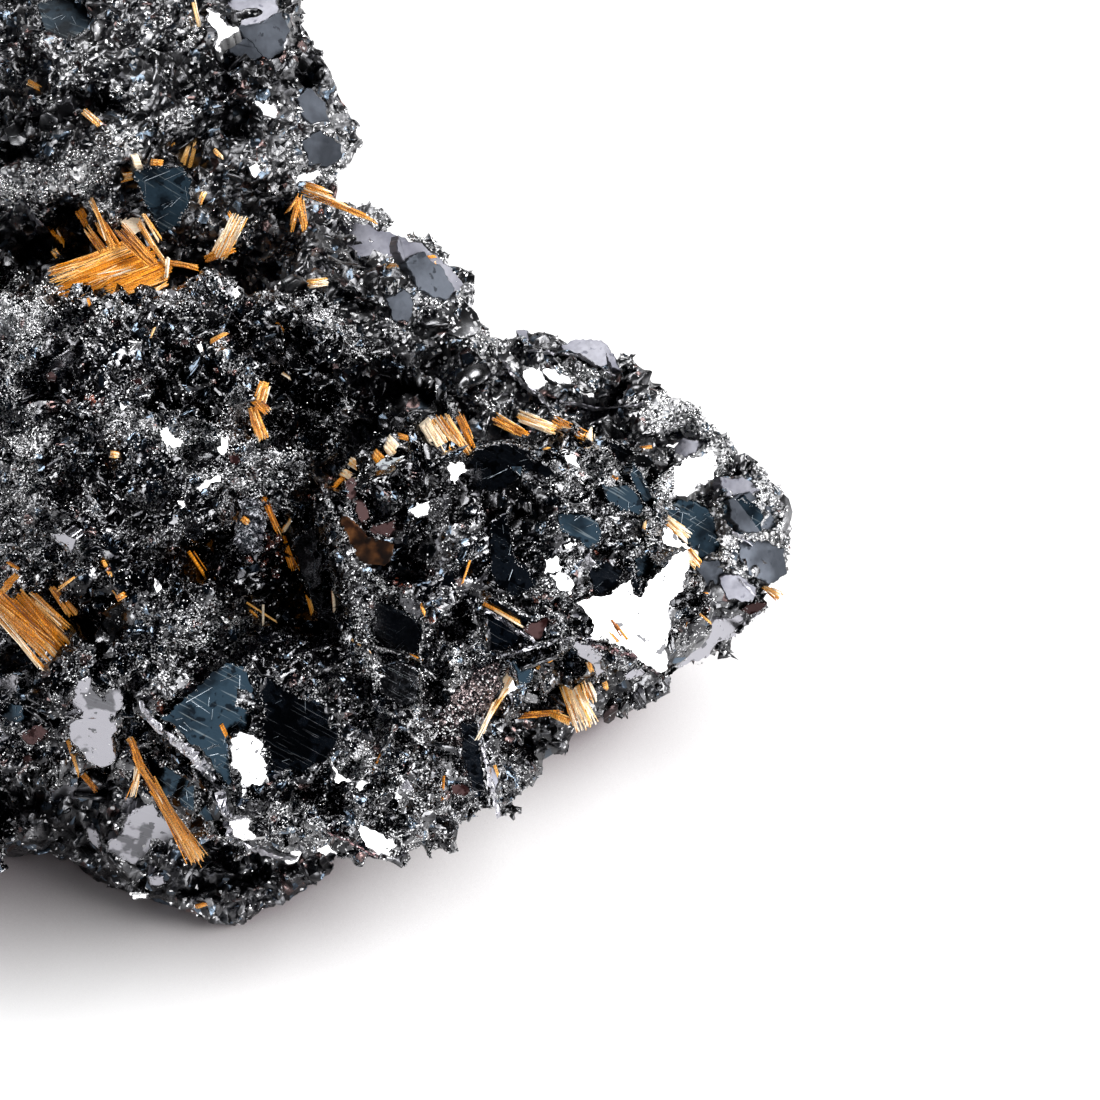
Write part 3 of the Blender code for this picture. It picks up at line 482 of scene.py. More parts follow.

# Single laths and needles that lie on the hematite: ends, width in pixels, and shade, partly painted light.
STRAYS = rows(6, """
    58,589,83,571,1.3,0.5 350,462,362,470,7,0.95 343,472,355,480,6,0.95 484,604,500,612,3,0.3
    620,630,604,612,2,0.6 628,640,612,620,1.5,0.6 262,494,280,534,6,0.3 279,530,294,571,7,0.2
    291,519,282,533,4,0.95 323,524,309,551,7,0.25 307,591,313,614,4,0.6 332,592,334,612,3,0.3
    248,603,280,624,1.3,0.8 263,605,263,626,1.3,0.85 190,553,213,587,2,0.3 194,552,214,582,1.3,0.35
    210,342,227,332,4,0.5 282,373,291,379,3,0.9 277,323,284,331,3,0.45 411,266,436,263,8,0.5
    384,266,401,266,5,0.6 308,284,328,281,9,0.8 183,164,190,144,4,0.85 190,167,196,143,4,0.85
    171,153,174,142,3,0.6 119,178,134,175,9,0.7 151,162,163,163,6,0.4 194,0,204,45,4,0.92
    84,111,100,125,7,0.88 28,82,41,89,6,0.6 497,610,526,627,4,0.9 484,619,487,646,1.8,0.85
    537,669,555,658,2.6,0.55 444,775,442,802,3,0.5 465,818,473,822,8,0.7 497,814,497,822,3,0.6
    494,763,498,776,3,0.6 603,624,622,646,2.6,0.5 613,625,622,637,1.4,0.45 410,655,422,660,4,0.5
    67,738,80,778,4,0.5 79,770,97,791,6,0.25 45,229,57,240,9,0.35 52,224,66,248,4,0.6 53,250,58,257,6,0.7
    79,210,88,225,9,0.1 242,518,249,523,6,0.5 110,454,119,455,7,0.8 221,724,227,737,3,0.6
    371,772,382,750,1.8,0.6 545,452,552,450,3,0.6 543,450,549,447,2,0.5 613,475,618,479,5,0.4
    644,529,646,520,3,0.8 56,592,83,571,1.3,0.6 5,587,18,574,7,0.35 0,593,11,584,6,0.6 103,561,111,576,3,0.4
    117,599,125,594,6,0.4 150,338,155,328,1.5,0.7 88,298,90,306,3,0.5 112,590,121,601,2,0.5
    352,640,371,652,1.4,0.6 250,610,258,616,1.5,0.7 470,560,462,584,1.4,0.5 418,600,425,615,2,0.4
    520,716,562,712,6,0.15 588,662,592,672,5,0.7 604,682,607,690,5,0.6 700,615,712,624,2,0.5
    640,448,652,446,3,0.5 420,258,436,256,3,0.5 205,192,199,204,5,0.85 214,150,222,158,4,0.5
    228,212,236,224,3,0.5 8,562,20,570,3,0.4 129,738,136,748,7,0.7 90,878,98,884,3,0.5 118,888,124,892,4,0.6
    196,907,206,904,4,0.5 60,862,70,868,4,0.4
""")

# Red glassy crystals: middle and half size.
RED_CRYSTALS = rows(3, """
    268,545,8 278,556,7 264,562,6 272,572,6 280,540,5 260,574,4 268,304,4 217,372,4 216,382,4 87,398,5
    92,402,4 330,479,4 313,498,4 250,560,4 242,545,4 396,582,4 404,588,4 432,620,4 162,702,7 155,698,5
    596,552,3 360,574,3 232,374,4 100,612,3 536,600,4 545,596,4 560,606,4 520,588,4 205,392,3 68,402,3
    320,212,3 262,62,4 250,56,3 120,596,5 108,572,4
""")


# ---- helpers on whole arrays -----------------------------------------------------------------------------


def unit(vectors):
    """Each row divided by its length."""
    vectors = np.asarray(vectors, float)
    return vectors / np.maximum(np.linalg.norm(vectors, axis=-1, keepdims=True), 1e-9)


def turns_from(normals, along):
    """Rotation matrices whose third column is the normal and whose first is along, squared to the normal."""
    normals = unit(normals)
    across = unit(np.cross(normals, along))
    first = np.cross(across, normals)
    return np.stack((first, across, normals), axis=-1)


def scrambled(cells, seed):
    """Three numbers from 0 to 1 for each whole-number cell, its coordinates mixed by multiplying and xor."""
    mixed = cells.astype(np.int64)
    key = (mixed[..., 0] * 73856093) ^ (mixed[..., 1] * 19349663) ^ (mixed[..., 2] * 83492791) ^ (seed
        * 2654435761)
    key &= 0xFFFFFFFF
    numbers = []
    for step in (0x9E3779B1, 0x85EBCA77, 0xC2B2AE3D):
        key = ((key ^ (key >> 15)) * step) & 0xFFFFFFFF
        key = (key ^ (key >> 13)) & 0xFFFFFFFF
        numbers.append(key / 0xFFFFFFFF)
    return np.stack(numbers, axis=-1)


def crystal_cells(points, size, seed):
    """Splits space into crystals: each point belongs to the nearest point of a jittered grid of that size.

    Returns the crystal's three random numbers, three more, and the way from its middle to the point.
    """
    base = np.floor(points / size)
    best = np.full(len(points), np.inf)
    numbers = np.zeros((len(points), 3))
    others = np.zeros((len(points), 3))
    offset = np.zeros((len(points), 3))
    for shift in np.ndindex(3, 3, 3):
        cell = base + np.array(shift) - 1
        middle = (cell + scrambled(cell, seed)) * size
        away = points - middle
        distance = (away**2).sum(1)
        nearer = distance < best
        best[nearer] = distance[nearer]
        numbers[nearer] = scrambled(cell[nearer], seed + 101)
        others[nearer] = scrambled(cell[nearer], seed + 202)
        offset[nearer] = away[nearer]
    return numbers, others, offset


def soft_noise(points, size, seed):
    """Smooth noise from 0 to 1: random numbers at the corners of a grid of that size, blended between."""
    scaled = points / size
    base = np.floor(scaled)
    part = scaled - base
    part = part * part * (3 - 2 * part)
    total = np.zeros(len(points))
    for corner in np.ndindex(2, 2, 2):
        share = np.prod(np.where(corner, part, 1 - part), axis=1)
        total += share * scrambled(base + np.array(corner), seed)[:, 0]
    return total


def rising(values, low, high):
    """0 below low, 1 above high, and a smooth curve between."""
    share = np.clip((values - low) / (high - low), 0, 1)
    return share * share * (3 - 2 * share)


def in_outline(pixels, corners):
    """Which pixels lie in a closed outline: a line to the right crosses it an odd number of times."""
    inside = np.zeros(len(pixels), bool)
    following = np.roll(corners, -1, axis=0)
    for (x0, y0), (x1, y1) in zip(corners, following):
        if y0 == y1:
            continue
        spans = (pixels[:, 1] > min(y0, y1)) & (pixels[:, 1] <= max(y0, y1))
        crossing = x0 + (pixels[:, 1] - y0) * (x1 - x0) / (y1 - y0)
        inside ^= spans & (pixels[:, 0] < crossing)
    return inside


def grown(corners, margin):
    """An outline moved out from its middle by about the margin."""
    middle = corners.mean(0)
    away = corners - middle
    reach = np.linalg.norm(away, axis=1, keepdims=True)
    return middle + away * (1 + margin / np.maximum(reach, 1))


# ---- the photograph's view -------------------------------------------------------------------------------


AHEAD = np.array((0, math.cos(VIEW_ELEVATION), -math.sin(VIEW_ELEVATION)))
RIGHT = np.array((1.0, 0, 0))
UP = np.array((0, math.sin(VIEW_ELEVATION), math.cos(VIEW_ELEVATION)))
EYE = VIEW_AIM - AHEAD * VIEW_DISTANCE
PIXEL = SENSOR / LENS / PHOTO_SIDE


def pixel_rays(pixels):
    """The rays through pixels, each one long along the middle of the view."""
    pixels = np.asarray(pixels, float)
    half = PHOTO_SIDE / 2
    return AHEAD + (pixels[:, :1] - half) * PIXEL * RIGHT + (half - pixels[:, 1:2]) * PIXEL * UP


def seen_pixels(points):
    """Where points show in the photograph, and how deep they lie."""
    away = points - EYE
    depth = away @ AHEAD
    half = PHOTO_SIDE / 2
    across = half + away @ RIGHT / depth / PIXEL
    down = half - away @ UP / depth / PIXEL
    return np.stack((across, down), axis=1), depth


def on_plane(pixels, normal, level):
    """Where the rays of pixels meet the plane of points whose product with the normal is the level."""
    rays = pixel_rays(pixels)
    return EYE + rays * ((level - normal @ EYE) / (rays @ normal))[:, None]


def in_front(pixels, depth, room, cell=14):
    """Which points lie within the room behind the nearest point of their small square of the photograph."""
    wide = 140
    squares = np.clip((pixels // cell).astype(int) + 30, 0, wide - 1)
    key = squares[:, 1] * wide + squares[:, 0]
    nearest = np.full(wide * wide, np.inf)
    np.minimum.at(nearest, key, depth)
    return depth < nearest[key] + room


def mirror_normal(way):
    """The way a face looks that mirrors this direction towards the photograph's view."""
    return unit(unit(np.array(way, float)) - AHEAD)


LIGHT_NORMALS = np.array([mirror_normal(MIRRORED[name]) for name in LIGHT_CHOICES])


def nearest_lights(surface, points, slopes):
    """For each point the light whose mirror normal is nearest to the slope, of those that it can see.

    Returns the mirror normals, and whether any light is free.
    """
    ways = [Vector(PANELS[name][0]).normalized() for name in LIGHT_CHOICES]
    free = np.array([[surface.tree.ray_cast(Vector(p) + way * 0.7, way)[0] is None for way in ways]
        for p in points])
    fit = np.where(free.reshape(-1, len(ways)), 0, -9) + slopes @ LIGHT_NORMALS.T
    return LIGHT_NORMALS[np.argmax(fit, axis=1)], fit.max(1) > -3


def facet_normal(mirrored, slope, surface, place):
    """The normal that mirrors the named thing, or the free light that suits the skin's own slope best."""
    if mirrored == "auto":
        return nearest_lights(surface, (place + slope * 0.5)[None], slope[None])[0][0]
    if mirrored.startswith("room"):
        return unit(mirror_normal(MIRRORED[mirrored]) * 1.2 + slope * 0.5)
    return mirror_normal(MIRRORED[mirrored])


# ---- meshes ----------------------------------------------------------------------------------------------


def make_piece(name, points, faces, material, crystal=None, face_uv=None, ground=None):
    """Makes a flat-shaded object of points in millimetres, lifted to the floor, and faces, an array or lists.

    crystal holds three random numbers per point, the same all over one crystal. face_uv is a place on the
    crystal's own face, in millimetres, per point. ground is the frost, darkness and smoothness of the skin,
    per point.
    """
    mesh = bpy.data.meshes.new(name)
    points = np.asarray(points, float) * MM
    points[:, 2] = np.maximum(points[:, 2], 0)
    if isinstance(faces, list):
        mesh.from_pydata(points, [], faces)
    else:
        mesh.vertices.add(len(points))
        mesh.vertices.foreach_set("co", points.astype(np.float32).ravel())
        mesh.loops.add(faces.size)
        mesh.loops.foreach_set("vertex_index", faces.astype(np.int32).ravel())
        mesh.polygons.add(len(faces))
        mesh.polygons.foreach_set("loop_start", np.arange(0, faces.size, faces.shape[1], dtype=np.int32))
        mesh.update(calc_edges=True)
    for label, values in (("crystal", crystal), ("ground", ground)):
        if values is not None:
            layer = mesh.attributes.new(label, "FLOAT_COLOR", "POINT")
            colours = np.ones((len(points), 4), np.float32)
            colours[:, :3] = values
            layer.data.foreach_set("color", colours.ravel())
    if face_uv is not None:
        layer = mesh.uv_layers.new(name="face")
        corners = np.empty(len(mesh.loops), np.int32)
        mesh.loops.foreach_get("vertex_index", corners)
        layer.data.foreach_set("uv", np.asarray(face_uv, np.float32)[corners].ravel())
    mesh.materials.append(material)
    mesh.validate()
    piece = bpy.data.objects.new(name, mesh)
    bpy.context.scene.collection.objects.link(piece)
    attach(piece, BODY)
    return piece


def merged_arrays(node):
    """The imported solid's points in millimetres and its triangles, with doubles merged on a copy."""
    bm = bmesh.new()
    bm.from_mesh(node.data)
    bmesh.ops.remove_doubles(bm, verts=bm.verts, dist=1e-7)
    bmesh.ops.triangulate(bm, faces=bm.faces)
    bm.verts.index_update()
    points = np.array([v.co for v in bm.verts]) / MM
    faces = np.array([[v.index for v in f.verts] for f in bm.faces])
    bm.free()
    return points, faces


def remeshed(points, faces, voxel):
    """An even mesh of square voxels wrapped round a closed mesh, as points in millimetres and quads."""
    mesh = bpy.data.meshes.new("remesh_source")
    mesh.from_pydata(points * MM, [], faces)
    holder = bpy.data.objects.new("remesh_source", mesh)
    bpy.context.scene.collection.objects.link(holder)
    modifier = holder.modifiers.new("remesh", "REMESH")
    modifier.mode = "VOXEL"
    modifier.voxel_size = voxel * MM
    even = holder.evaluated_get(bpy.context.evaluated_depsgraph_get()).to_mesh()
    result = np.empty(len(even.vertices) * 3, np.float32)
    even.vertices.foreach_get("co", result)
    quads = np.empty(len(even.loops), np.int32)
    even.loops.foreach_get("vertex_index", quads)
    holder.to_mesh_clear()
    bpy.data.objects.remove(holder)
    return result.reshape(-1, 3).astype(float) / MM, quads.reshape(-1, 4)


def triangles_of(quads):
    """Each quad split in two."""
    return np.concatenate((quads[:, [0, 1, 2]], quads[:, [0, 2, 3]]))


def point_normals(points, faces):
    """At each point, the area-weighted mean of the normals of the faces round it."""
    a, b, c = points[faces[:, 0]], points[faces[:, 1]], points[faces[:, 2]]
    across = np.cross(b - a, c - a)
    total = np.zeros_like(points)
    for corner in range(faces.shape[1]):
        np.add.at(total, faces[:, corner], across)
    return unit(total)


class Surface:
    """A surface of triangles, to place things on by chance, or where a pixel of the photograph looks."""

    def __init__(self, points, triangles):
        self.points, self.triangles = points, triangles
        a, b, c = (points[triangles[:, k]] for k in range(3))
        across = np.cross(b - a, c - a)
        self.areas = np.linalg.norm(across, axis=1) / 2
        self.normals = unit(across)
        self.middles = (a + b + c) / 3
        self.tree = BVHTree.FromPolygons([Vector(p) for p in points], triangles.tolist())

    def scatter(self, count, rng, weight):
        """Random places, more where the weight is more: points, the normals there, and triangles."""
        share = self.areas * weight
        chosen = rng.choice(len(share), count, p=share / share.sum())
        a, b, c = (self.points[self.triangles[chosen, k]] for k in range(3))
        u, v = rng.random((2, count, 1))
        over = u + v > 1
        u, v = np.where(over, 1 - u, u), np.where(over, 1 - v, v)
        return a + (b - a) * u + (c - a) * v, self.normals[chosen], chosen

    def hits(self, pixels):
        """Where the rays of pixels first meet the surface, without the ones that miss it."""
        found = [self.tree.ray_cast(Vector(EYE), Vector(ray).normalized())[0] for ray in pixel_rays(pixels)]
        return np.array([point for point in found if point is not None])

    def slope(self, point, reach):
        """The mean normal of the surface round a point, of what faces the view."""
        near = (((self.middles - point) ** 2).sum(1) < reach * reach) & (self.normals @ AHEAD < 0)
        return unit((self.normals[near] * self.areas[near, None]).sum(0)) if near.any() else -AHEAD


# ---- the skin --------------------------------------------------------------------------------------------


def planned_facets(surface):
    """The plane of each flat face: it mirrors what it should, level with the skin under its outline."""
    plans = {}
    for name, ((kind, *mirrored), corners) in FACETS.items():
        middle = corners.mean(0)
        away = corners - middle
        samples = np.concatenate((middle + away * 0.85, middle + away * 0.4, [middle]))
        hits = surface.hits(samples)
        if len(hits) < 3:
            print("no skin at", name)
            continue
        place = np.median(hits, axis=0)
        slope = surface.slope(place, 2.0)
        mirrored = mirrored[0] if mirrored else USUAL_MIRRORS.get(kind, "auto")
        normal = facet_normal(mirrored, slope, surface, place)
        level = np.median(hits @ normal)
        pixels, depth = seen_pixels(hits)
        stands = depth - (on_plane(pixels, normal, level) - EYE) @ AHEAD
        tall = np.percentile(stands, 90)
        sunk = -np.percentile(stands, 20)
        if tall > 1.3:
            level += (tall - 1.3) * (normal @ AHEAD)
        elif kind == "white" and sunk > 0:
            level -= min(sunk, 1.2) * (normal @ AHEAD)
        plans[name] = (kind, normal, level, corners)
    return plans


def in_ellipse(pixels, x, y, long, wide, turn):
    """How far pixels lie from the middle of a turned ellipse: 1 on its edge."""
    angle = math.radians(turn)
    away = pixels - (x, y)
    first = (away[:, 0] * math.cos(angle) + away[:, 1] * math.sin(angle)) / long
    second = (away[:, 1] * math.cos(angle) - away[:, 0] * math.sin(angle)) / wide
    return np.hypot(first, second)


def ground_at(points, room):
    """Frost, which is partly painted light, darkness, which is painted shade, and smoothness of the skin: by
    the fields where the photograph sees it, else chance.
    """
    pixels, depth = seen_pixels(points)
    seen = in_front(pixels, depth, room)
    jitter = (soft_noise(points, 1.4, 41) - 0.5) * 0.8 + (soft_noise(points, 0.5, 42) - 0.5) * 0.4
    inside = seen & (pixels[:, 0] > -30) & (pixels[:, 1] > -30)
    frost_and_painted_light = rising(soft_noise(points, 4.5, 43), 0.5, 0.85) * 0.9
    dark = rising(soft_noise(points, 5.0, 44), 0.5, 0.8) * 0.8
    smooth = rising(soft_noise(points, 6.0, 45), 0.6, 0.8) * 0.6
    ground = np.stack((frost_and_painted_light, dark, smooth), axis=1) * np.where(inside, 0, 1)[:, None]
    for x, y, long, wide, turn, *levels in FIELDS:
        share = (1 - rising(in_ellipse(pixels, x, y, long, wide, turn) + jitter, 0.6, 1.25)) * inside
        ground = np.maximum(ground, share[:, None] * np.array(levels))
    # The pits get painted shade: their darkness is raised and their frost taken away.
    for x, y, long, wide, turn, _ in PITS:
        share = (1 - rising(in_ellipse(pixels, x, y, long, wide, turn) + jitter, 0.75, 1.1)) * inside
        ground[:, 1] = np.maximum(ground[:, 1], share * 0.9)
        ground[:, 0] *= 1 - share
    return ground


def pitted(points):
    """Sinks the pits along the photograph's view."""
    pixels, depth = seen_pixels(points)
    front = in_front(pixels, depth, 3.0)
    rays = pixel_rays(pixels)
    moved = points.copy()
    jitter = soft_noise(points, 1.1, 31) - 0.5
    for x, y, long, wide, turn, deep in PITS:
        radius = in_ellipse(pixels, x, y, long, wide, turn) + jitter * 0.7
        moved += rays * (front * deep * (1 - rising(radius, 0.75, 1.05)))[:, None]
    moved[:, 2] = np.maximum(moved[:, 2], 0.0)
    return moved


def seated(points, plans):
    """Lays the skin flat under each face, along the photograph's view.

    Returns the points, and how much each may still be roughened.
    """
    pixels, depth = seen_pixels(points)
    front = in_front(pixels, depth, 3.0)
    rays = pixel_rays(pixels)
    moved = points.copy()
    calm = np.ones(len(points))
    for _, normal, level, corners in plans.values():
        index = np.flatnonzero(front & in_outline(pixels, grown(corners, 4)))
        aim = (level - normal @ EYE) / (rays[index] @ normal) + 0.14
        shift = np.clip(aim - depth[index], -1.0, 1.6)
        moved[index] = EYE + rays[index] * (depth[index] + shift)[:, None]
        calm[index] = 0.1
    moved[:, 2] = np.maximum(moved[:, 2], 0.0)
    return moved, calm


def roughened(points, faces, calm):
    """Breaks the skin into blocky crystals: in every crystal cell it steps by a height, tilts, or is hollow.

    On the rim that the photograph shows far away and out of focus the steps are lower, for a rounder outline.
    """
    facing = np.abs(point_normals(points, faces) @ AHEAD)
    beyond = rising((points - EYE) @ AHEAD, FOCUS_DEPTH + 6, FOCUS_DEPTH + 11)
    calm = calm * (1 - 0.65 * beyond * (1 - rising(facing, 0.25, 0.6)))
    for number, (size, height, slope, hollow, deep) in enumerate(SKIN_ROUGHNESS):
        normals = point_normals(points, faces)
        first, second, offset = crystal_cells(points, size, SEED + number)
        tilt = (second - 0.5) * 2
        lift = height * (first[:, 0] - 0.5) * 2 + slope * (offset * tilt).sum(1)
        lift = np.clip(lift, -2 * height, 1.5 * height) - deep * (first[:, 1] < hollow)
        limit = calm * np.clip(points[:, 2] / 1.5, 0, 1)
        points = points + normals * (lift * limit)[:, None]
    points[:, 2] = np.maximum(points[:, 2], 0)
    return points


# ---- crystals --------------------------------------------------------------------------------------------


def jagged_outlines(count, corners, rng, step):
    """Outlines of plates, as (count, corners, 2): a six-sided radius, with random steps in and out."""
    angle = (np.arange(corners) + rng.uniform(-0.3, 0.3, (count, corners))) * (2 * math.pi / corners)
    start = rng.uniform(0, math.pi / 3, (count, 1))
    sector = np.mod(angle + start, math.pi / 3) - math.pi / 6
    radius = math.cos(math.pi / 6) / np.cos(sector)
    radius = radius * rng.uniform(1 - step, 1, (count, corners))
    return np.stack((radius * np.cos(angle), radius * np.sin(angle)), axis=-1)


def plate_arrays(centres, turns, outlines, thickness, bevel):
    """Flat plates: each outline twice, apart by the thickness, closed by a fan, with a narrow bevel on top.

    Returns points, triangles and each point's place on its plate.
    """
    count, corners = outlines.shape[:2]
    half = thickness[:, None] / 2
    inner = 1 - bevel[:, None] / np.maximum(np.linalg.norm(outlines, axis=2), 1e-6)
    inner = np.clip(inner, 0.5, 1)[..., None]

    def ring(scale, height):
        flat = outlines * scale
        return np.concatenate((flat, np.broadcast_to(height[..., None], (count, corners, 1))), axis=2)

    drop = np.minimum(bevel, thickness * 0.4)[:, None]
    top, edge, base = ring(inner, half), ring(1.0, half - drop), ring(1.0, -half)
    middle_top = np.concatenate((np.zeros((count, 1, 2)), half[..., None]), axis=2)
    middle_base = np.concatenate((np.zeros((count, 1, 2)), -half[..., None]), axis=2)
    local = np.concatenate((top, edge, base, middle_top, middle_base), axis=1)
    i = np.arange(corners)
    j = (i + 1) % corners
    n = corners
    faces = np.concatenate(
        (
            np.stack((i, j, np.full(n, 3 * n)), 1),
            np.stack((n + i, n + j, j), 1),
            np.stack((n + i, j, i), 1),
            np.stack((2 * n + i, 2 * n + j, n + j), 1),
            np.stack((2 * n + i, n + j, n + i), 1),
            np.stack((2 * n + j, 2 * n + i, np.full(n, 3 * n + 1)), 1),
        )
    )
    points = centres[:, None] + np.einsum("nij,npj->npi", turns, local)
    per = 3 * n + 2
    faces = (faces[None] + (np.arange(count) * per)[:, None, None]).reshape(-1, 3)
    return points.reshape(-1, 3), faces, local[..., :2].reshape(-1, 2)


def grain_arrays(centres, turns, sizes, rng):
    """Small crystals with six faces: three points round the middle, one at each end, at uneven distances."""
    angle = np.arange(3) * 2 * math.pi / 3
    ring = np.stack((np.cos(angle), np.sin(angle), np.zeros(3)), 1)
    axes = np.concatenate((ring, ((0, 0, 1.0), (0, 0, -1.0))))
    count = len(centres)
    local = axes[None] * rng.uniform(0.6, 1.3, (count, 5, 1)) + rng.normal(0, 0.15, (count, 5, 3))
    local = local * sizes[:, None]
    points = centres[:, None] + np.einsum("nij,npj->npi", turns, local)
    sides = np.array(((0, 1, 3), (1, 2, 3), (2, 0, 3), (1, 0, 4), (2, 1, 4), (0, 2, 4)))
    faces = (sides[None] + (np.arange(count) * 5)[:, None, None]).reshape(-1, 3)
    return points.reshape(-1, 3), faces


def lath_arrays(roots, tips, widths, flats, facing, narrow):
    """Straight laths: a box from root to tip, narrower at the tip, which is cut on the slant.

    Returns points, quads and each point's place on its side as (across, along) in millimetres.
    """
    count = len(roots)
    axis = unit(tips - roots)
    side = unit(np.cross(axis, facing))
    up = np.cross(side, axis)
    corner = np.array(((-1, -1), (1, -1), (1, 1), (-1, 1)), float) / 2
    spread = side[:, None] * (corner[:, 0, None] * widths[:, None, None])
    spread = spread + up[:, None] * (corner[:, 1, None] * (widths * flats)[:, None, None])
    slant = axis[:, None] * (corner[:, 0, None] * (widths * 1.3)[:, None, None])
    low = roots[:, None] + spread
    high = tips[:, None] + spread * narrow + slant
    points = np.concatenate((low, high), axis=1)
    quads = np.array(((3, 2, 1, 0), (4, 5, 6, 7), (0, 1, 5, 4), (1, 2, 6, 5), (2, 3, 7, 6), (3, 0, 4, 7)))
    faces = (quads[None] + (np.arange(count) * 8)[:, None, None]).reshape(-1, 4)
    length = np.linalg.norm(tips - roots, axis=1)
    along = np.concatenate((np.zeros((count, 4)), np.repeat(length[:, None], 4, 1)), axis=1)
    sideways = np.tile(np.array((0, 1, 1.4, 0.4) * 2), (count, 1)) * widths[:, None]
    return points.reshape(-1, 3), faces, np.stack((sideways, along), axis=-1).reshape(-1, 2)


def ragged_edge(corners, rng, ragged):
    """A closed outline broken up: points along it move across it by random waves of three lengths.

    The waves are 13, 6 and 2.6 pixels long and 1.5, 1.1 and 0.8 pixels high, times ragged.
    """
    closed = np.concatenate((corners, corners[:1]))
    run = np.concatenate(((0,), np.cumsum(np.linalg.norm(np.diff(closed, axis=0), axis=1))))
    count = max(9, int(run[-1] / 1.3))
    where = np.arange(count) * run[-1] / count
    line = np.stack([np.interp(where, run, closed[:, k]) for k in range(2)], axis=1)
    tangent = unit(np.roll(line, -2, axis=0) - np.roll(line, 2, axis=0))
    shift = np.zeros(count)
    for wave, height in ((13.0, 1.5), (6.0, 1.1), (2.6, 0.8)):
        knots = max(3, int(run[-1] / wave))
        heights = rng.uniform(-1, 1, knots)
        shift += height * np.interp(where, np.arange(knots + 1) * run[-1] / knots,
            np.append(heights, heights[0]))
    limit = np.clip(run[-1] / 60, 0.35, 1.2)
    return line + np.stack((tangent[:, 1], -tangent[:, 0]), axis=1) * (shift * ragged * limit)[:, None]


def outline_plate(corners, normal, level, thick, rng, ragged=1.0):
    """A flat plate of any outline: its edge is broken up, bevelled, and carried down.

    corners are pixels. Returns points, faces as lists, and each point's place on the plate.
    """
    top = on_plane(ragged_edge(corners, rng, ragged), normal, level)
    first = unit(np.cross(UP, normal))
    second = np.cross(normal, first)
    flat = np.stack((top @ first, top @ second), axis=1)
    if np.sum(flat[:, 0] * np.roll(flat[:, 1], -1) - np.roll(flat[:, 0], -1) * flat[:, 1]) < 0:
        top, flat = top[::-1], flat[::-1]
    tangent = unit(np.roll(flat, -1, axis=0) - np.roll(flat, 1, axis=0))
    inward = np.stack((-tangent[:, 1], tangent[:, 0]), axis=1) * 0.05
    inward = inward[:, :1] * first + inward[:, 1:] * second
    n = len(top)
    points = np.concatenate((top + inward, top - normal * 0.05, top - normal * thick))
    uv = np.concatenate((flat, flat, flat))
    i = np.arange(n)
    j = (i + 1) % n
    faces = [i.tolist(), (2 * n + i[::-1]).tolist()]
    faces += np.stack((n + i, n + j, j, i), 1).tolist()
    faces += np.stack((2 * n + i, 2 * n + j, n + j, n + i), 1).tolist()
    return points, faces, uv


def joined(parts):
    """One set of arrays from several of (points, faces as lists, uv, crystal)."""
    points, faces, uvs, crystals = [], [], [], []
    start = 0
    for part_points, part_faces, uv, crystal in parts:
        points.append(part_points)
        faces += [[start + corner for corner in face] for face in part_faces]
        uvs.append(uv)
        crystals.append(np.broadcast_to(crystal, (len(part_points), 3)))
        start += len(part_points)
    return np.concatenate(points), faces, np.concatenate(crystals), np.concatenate(uvs)


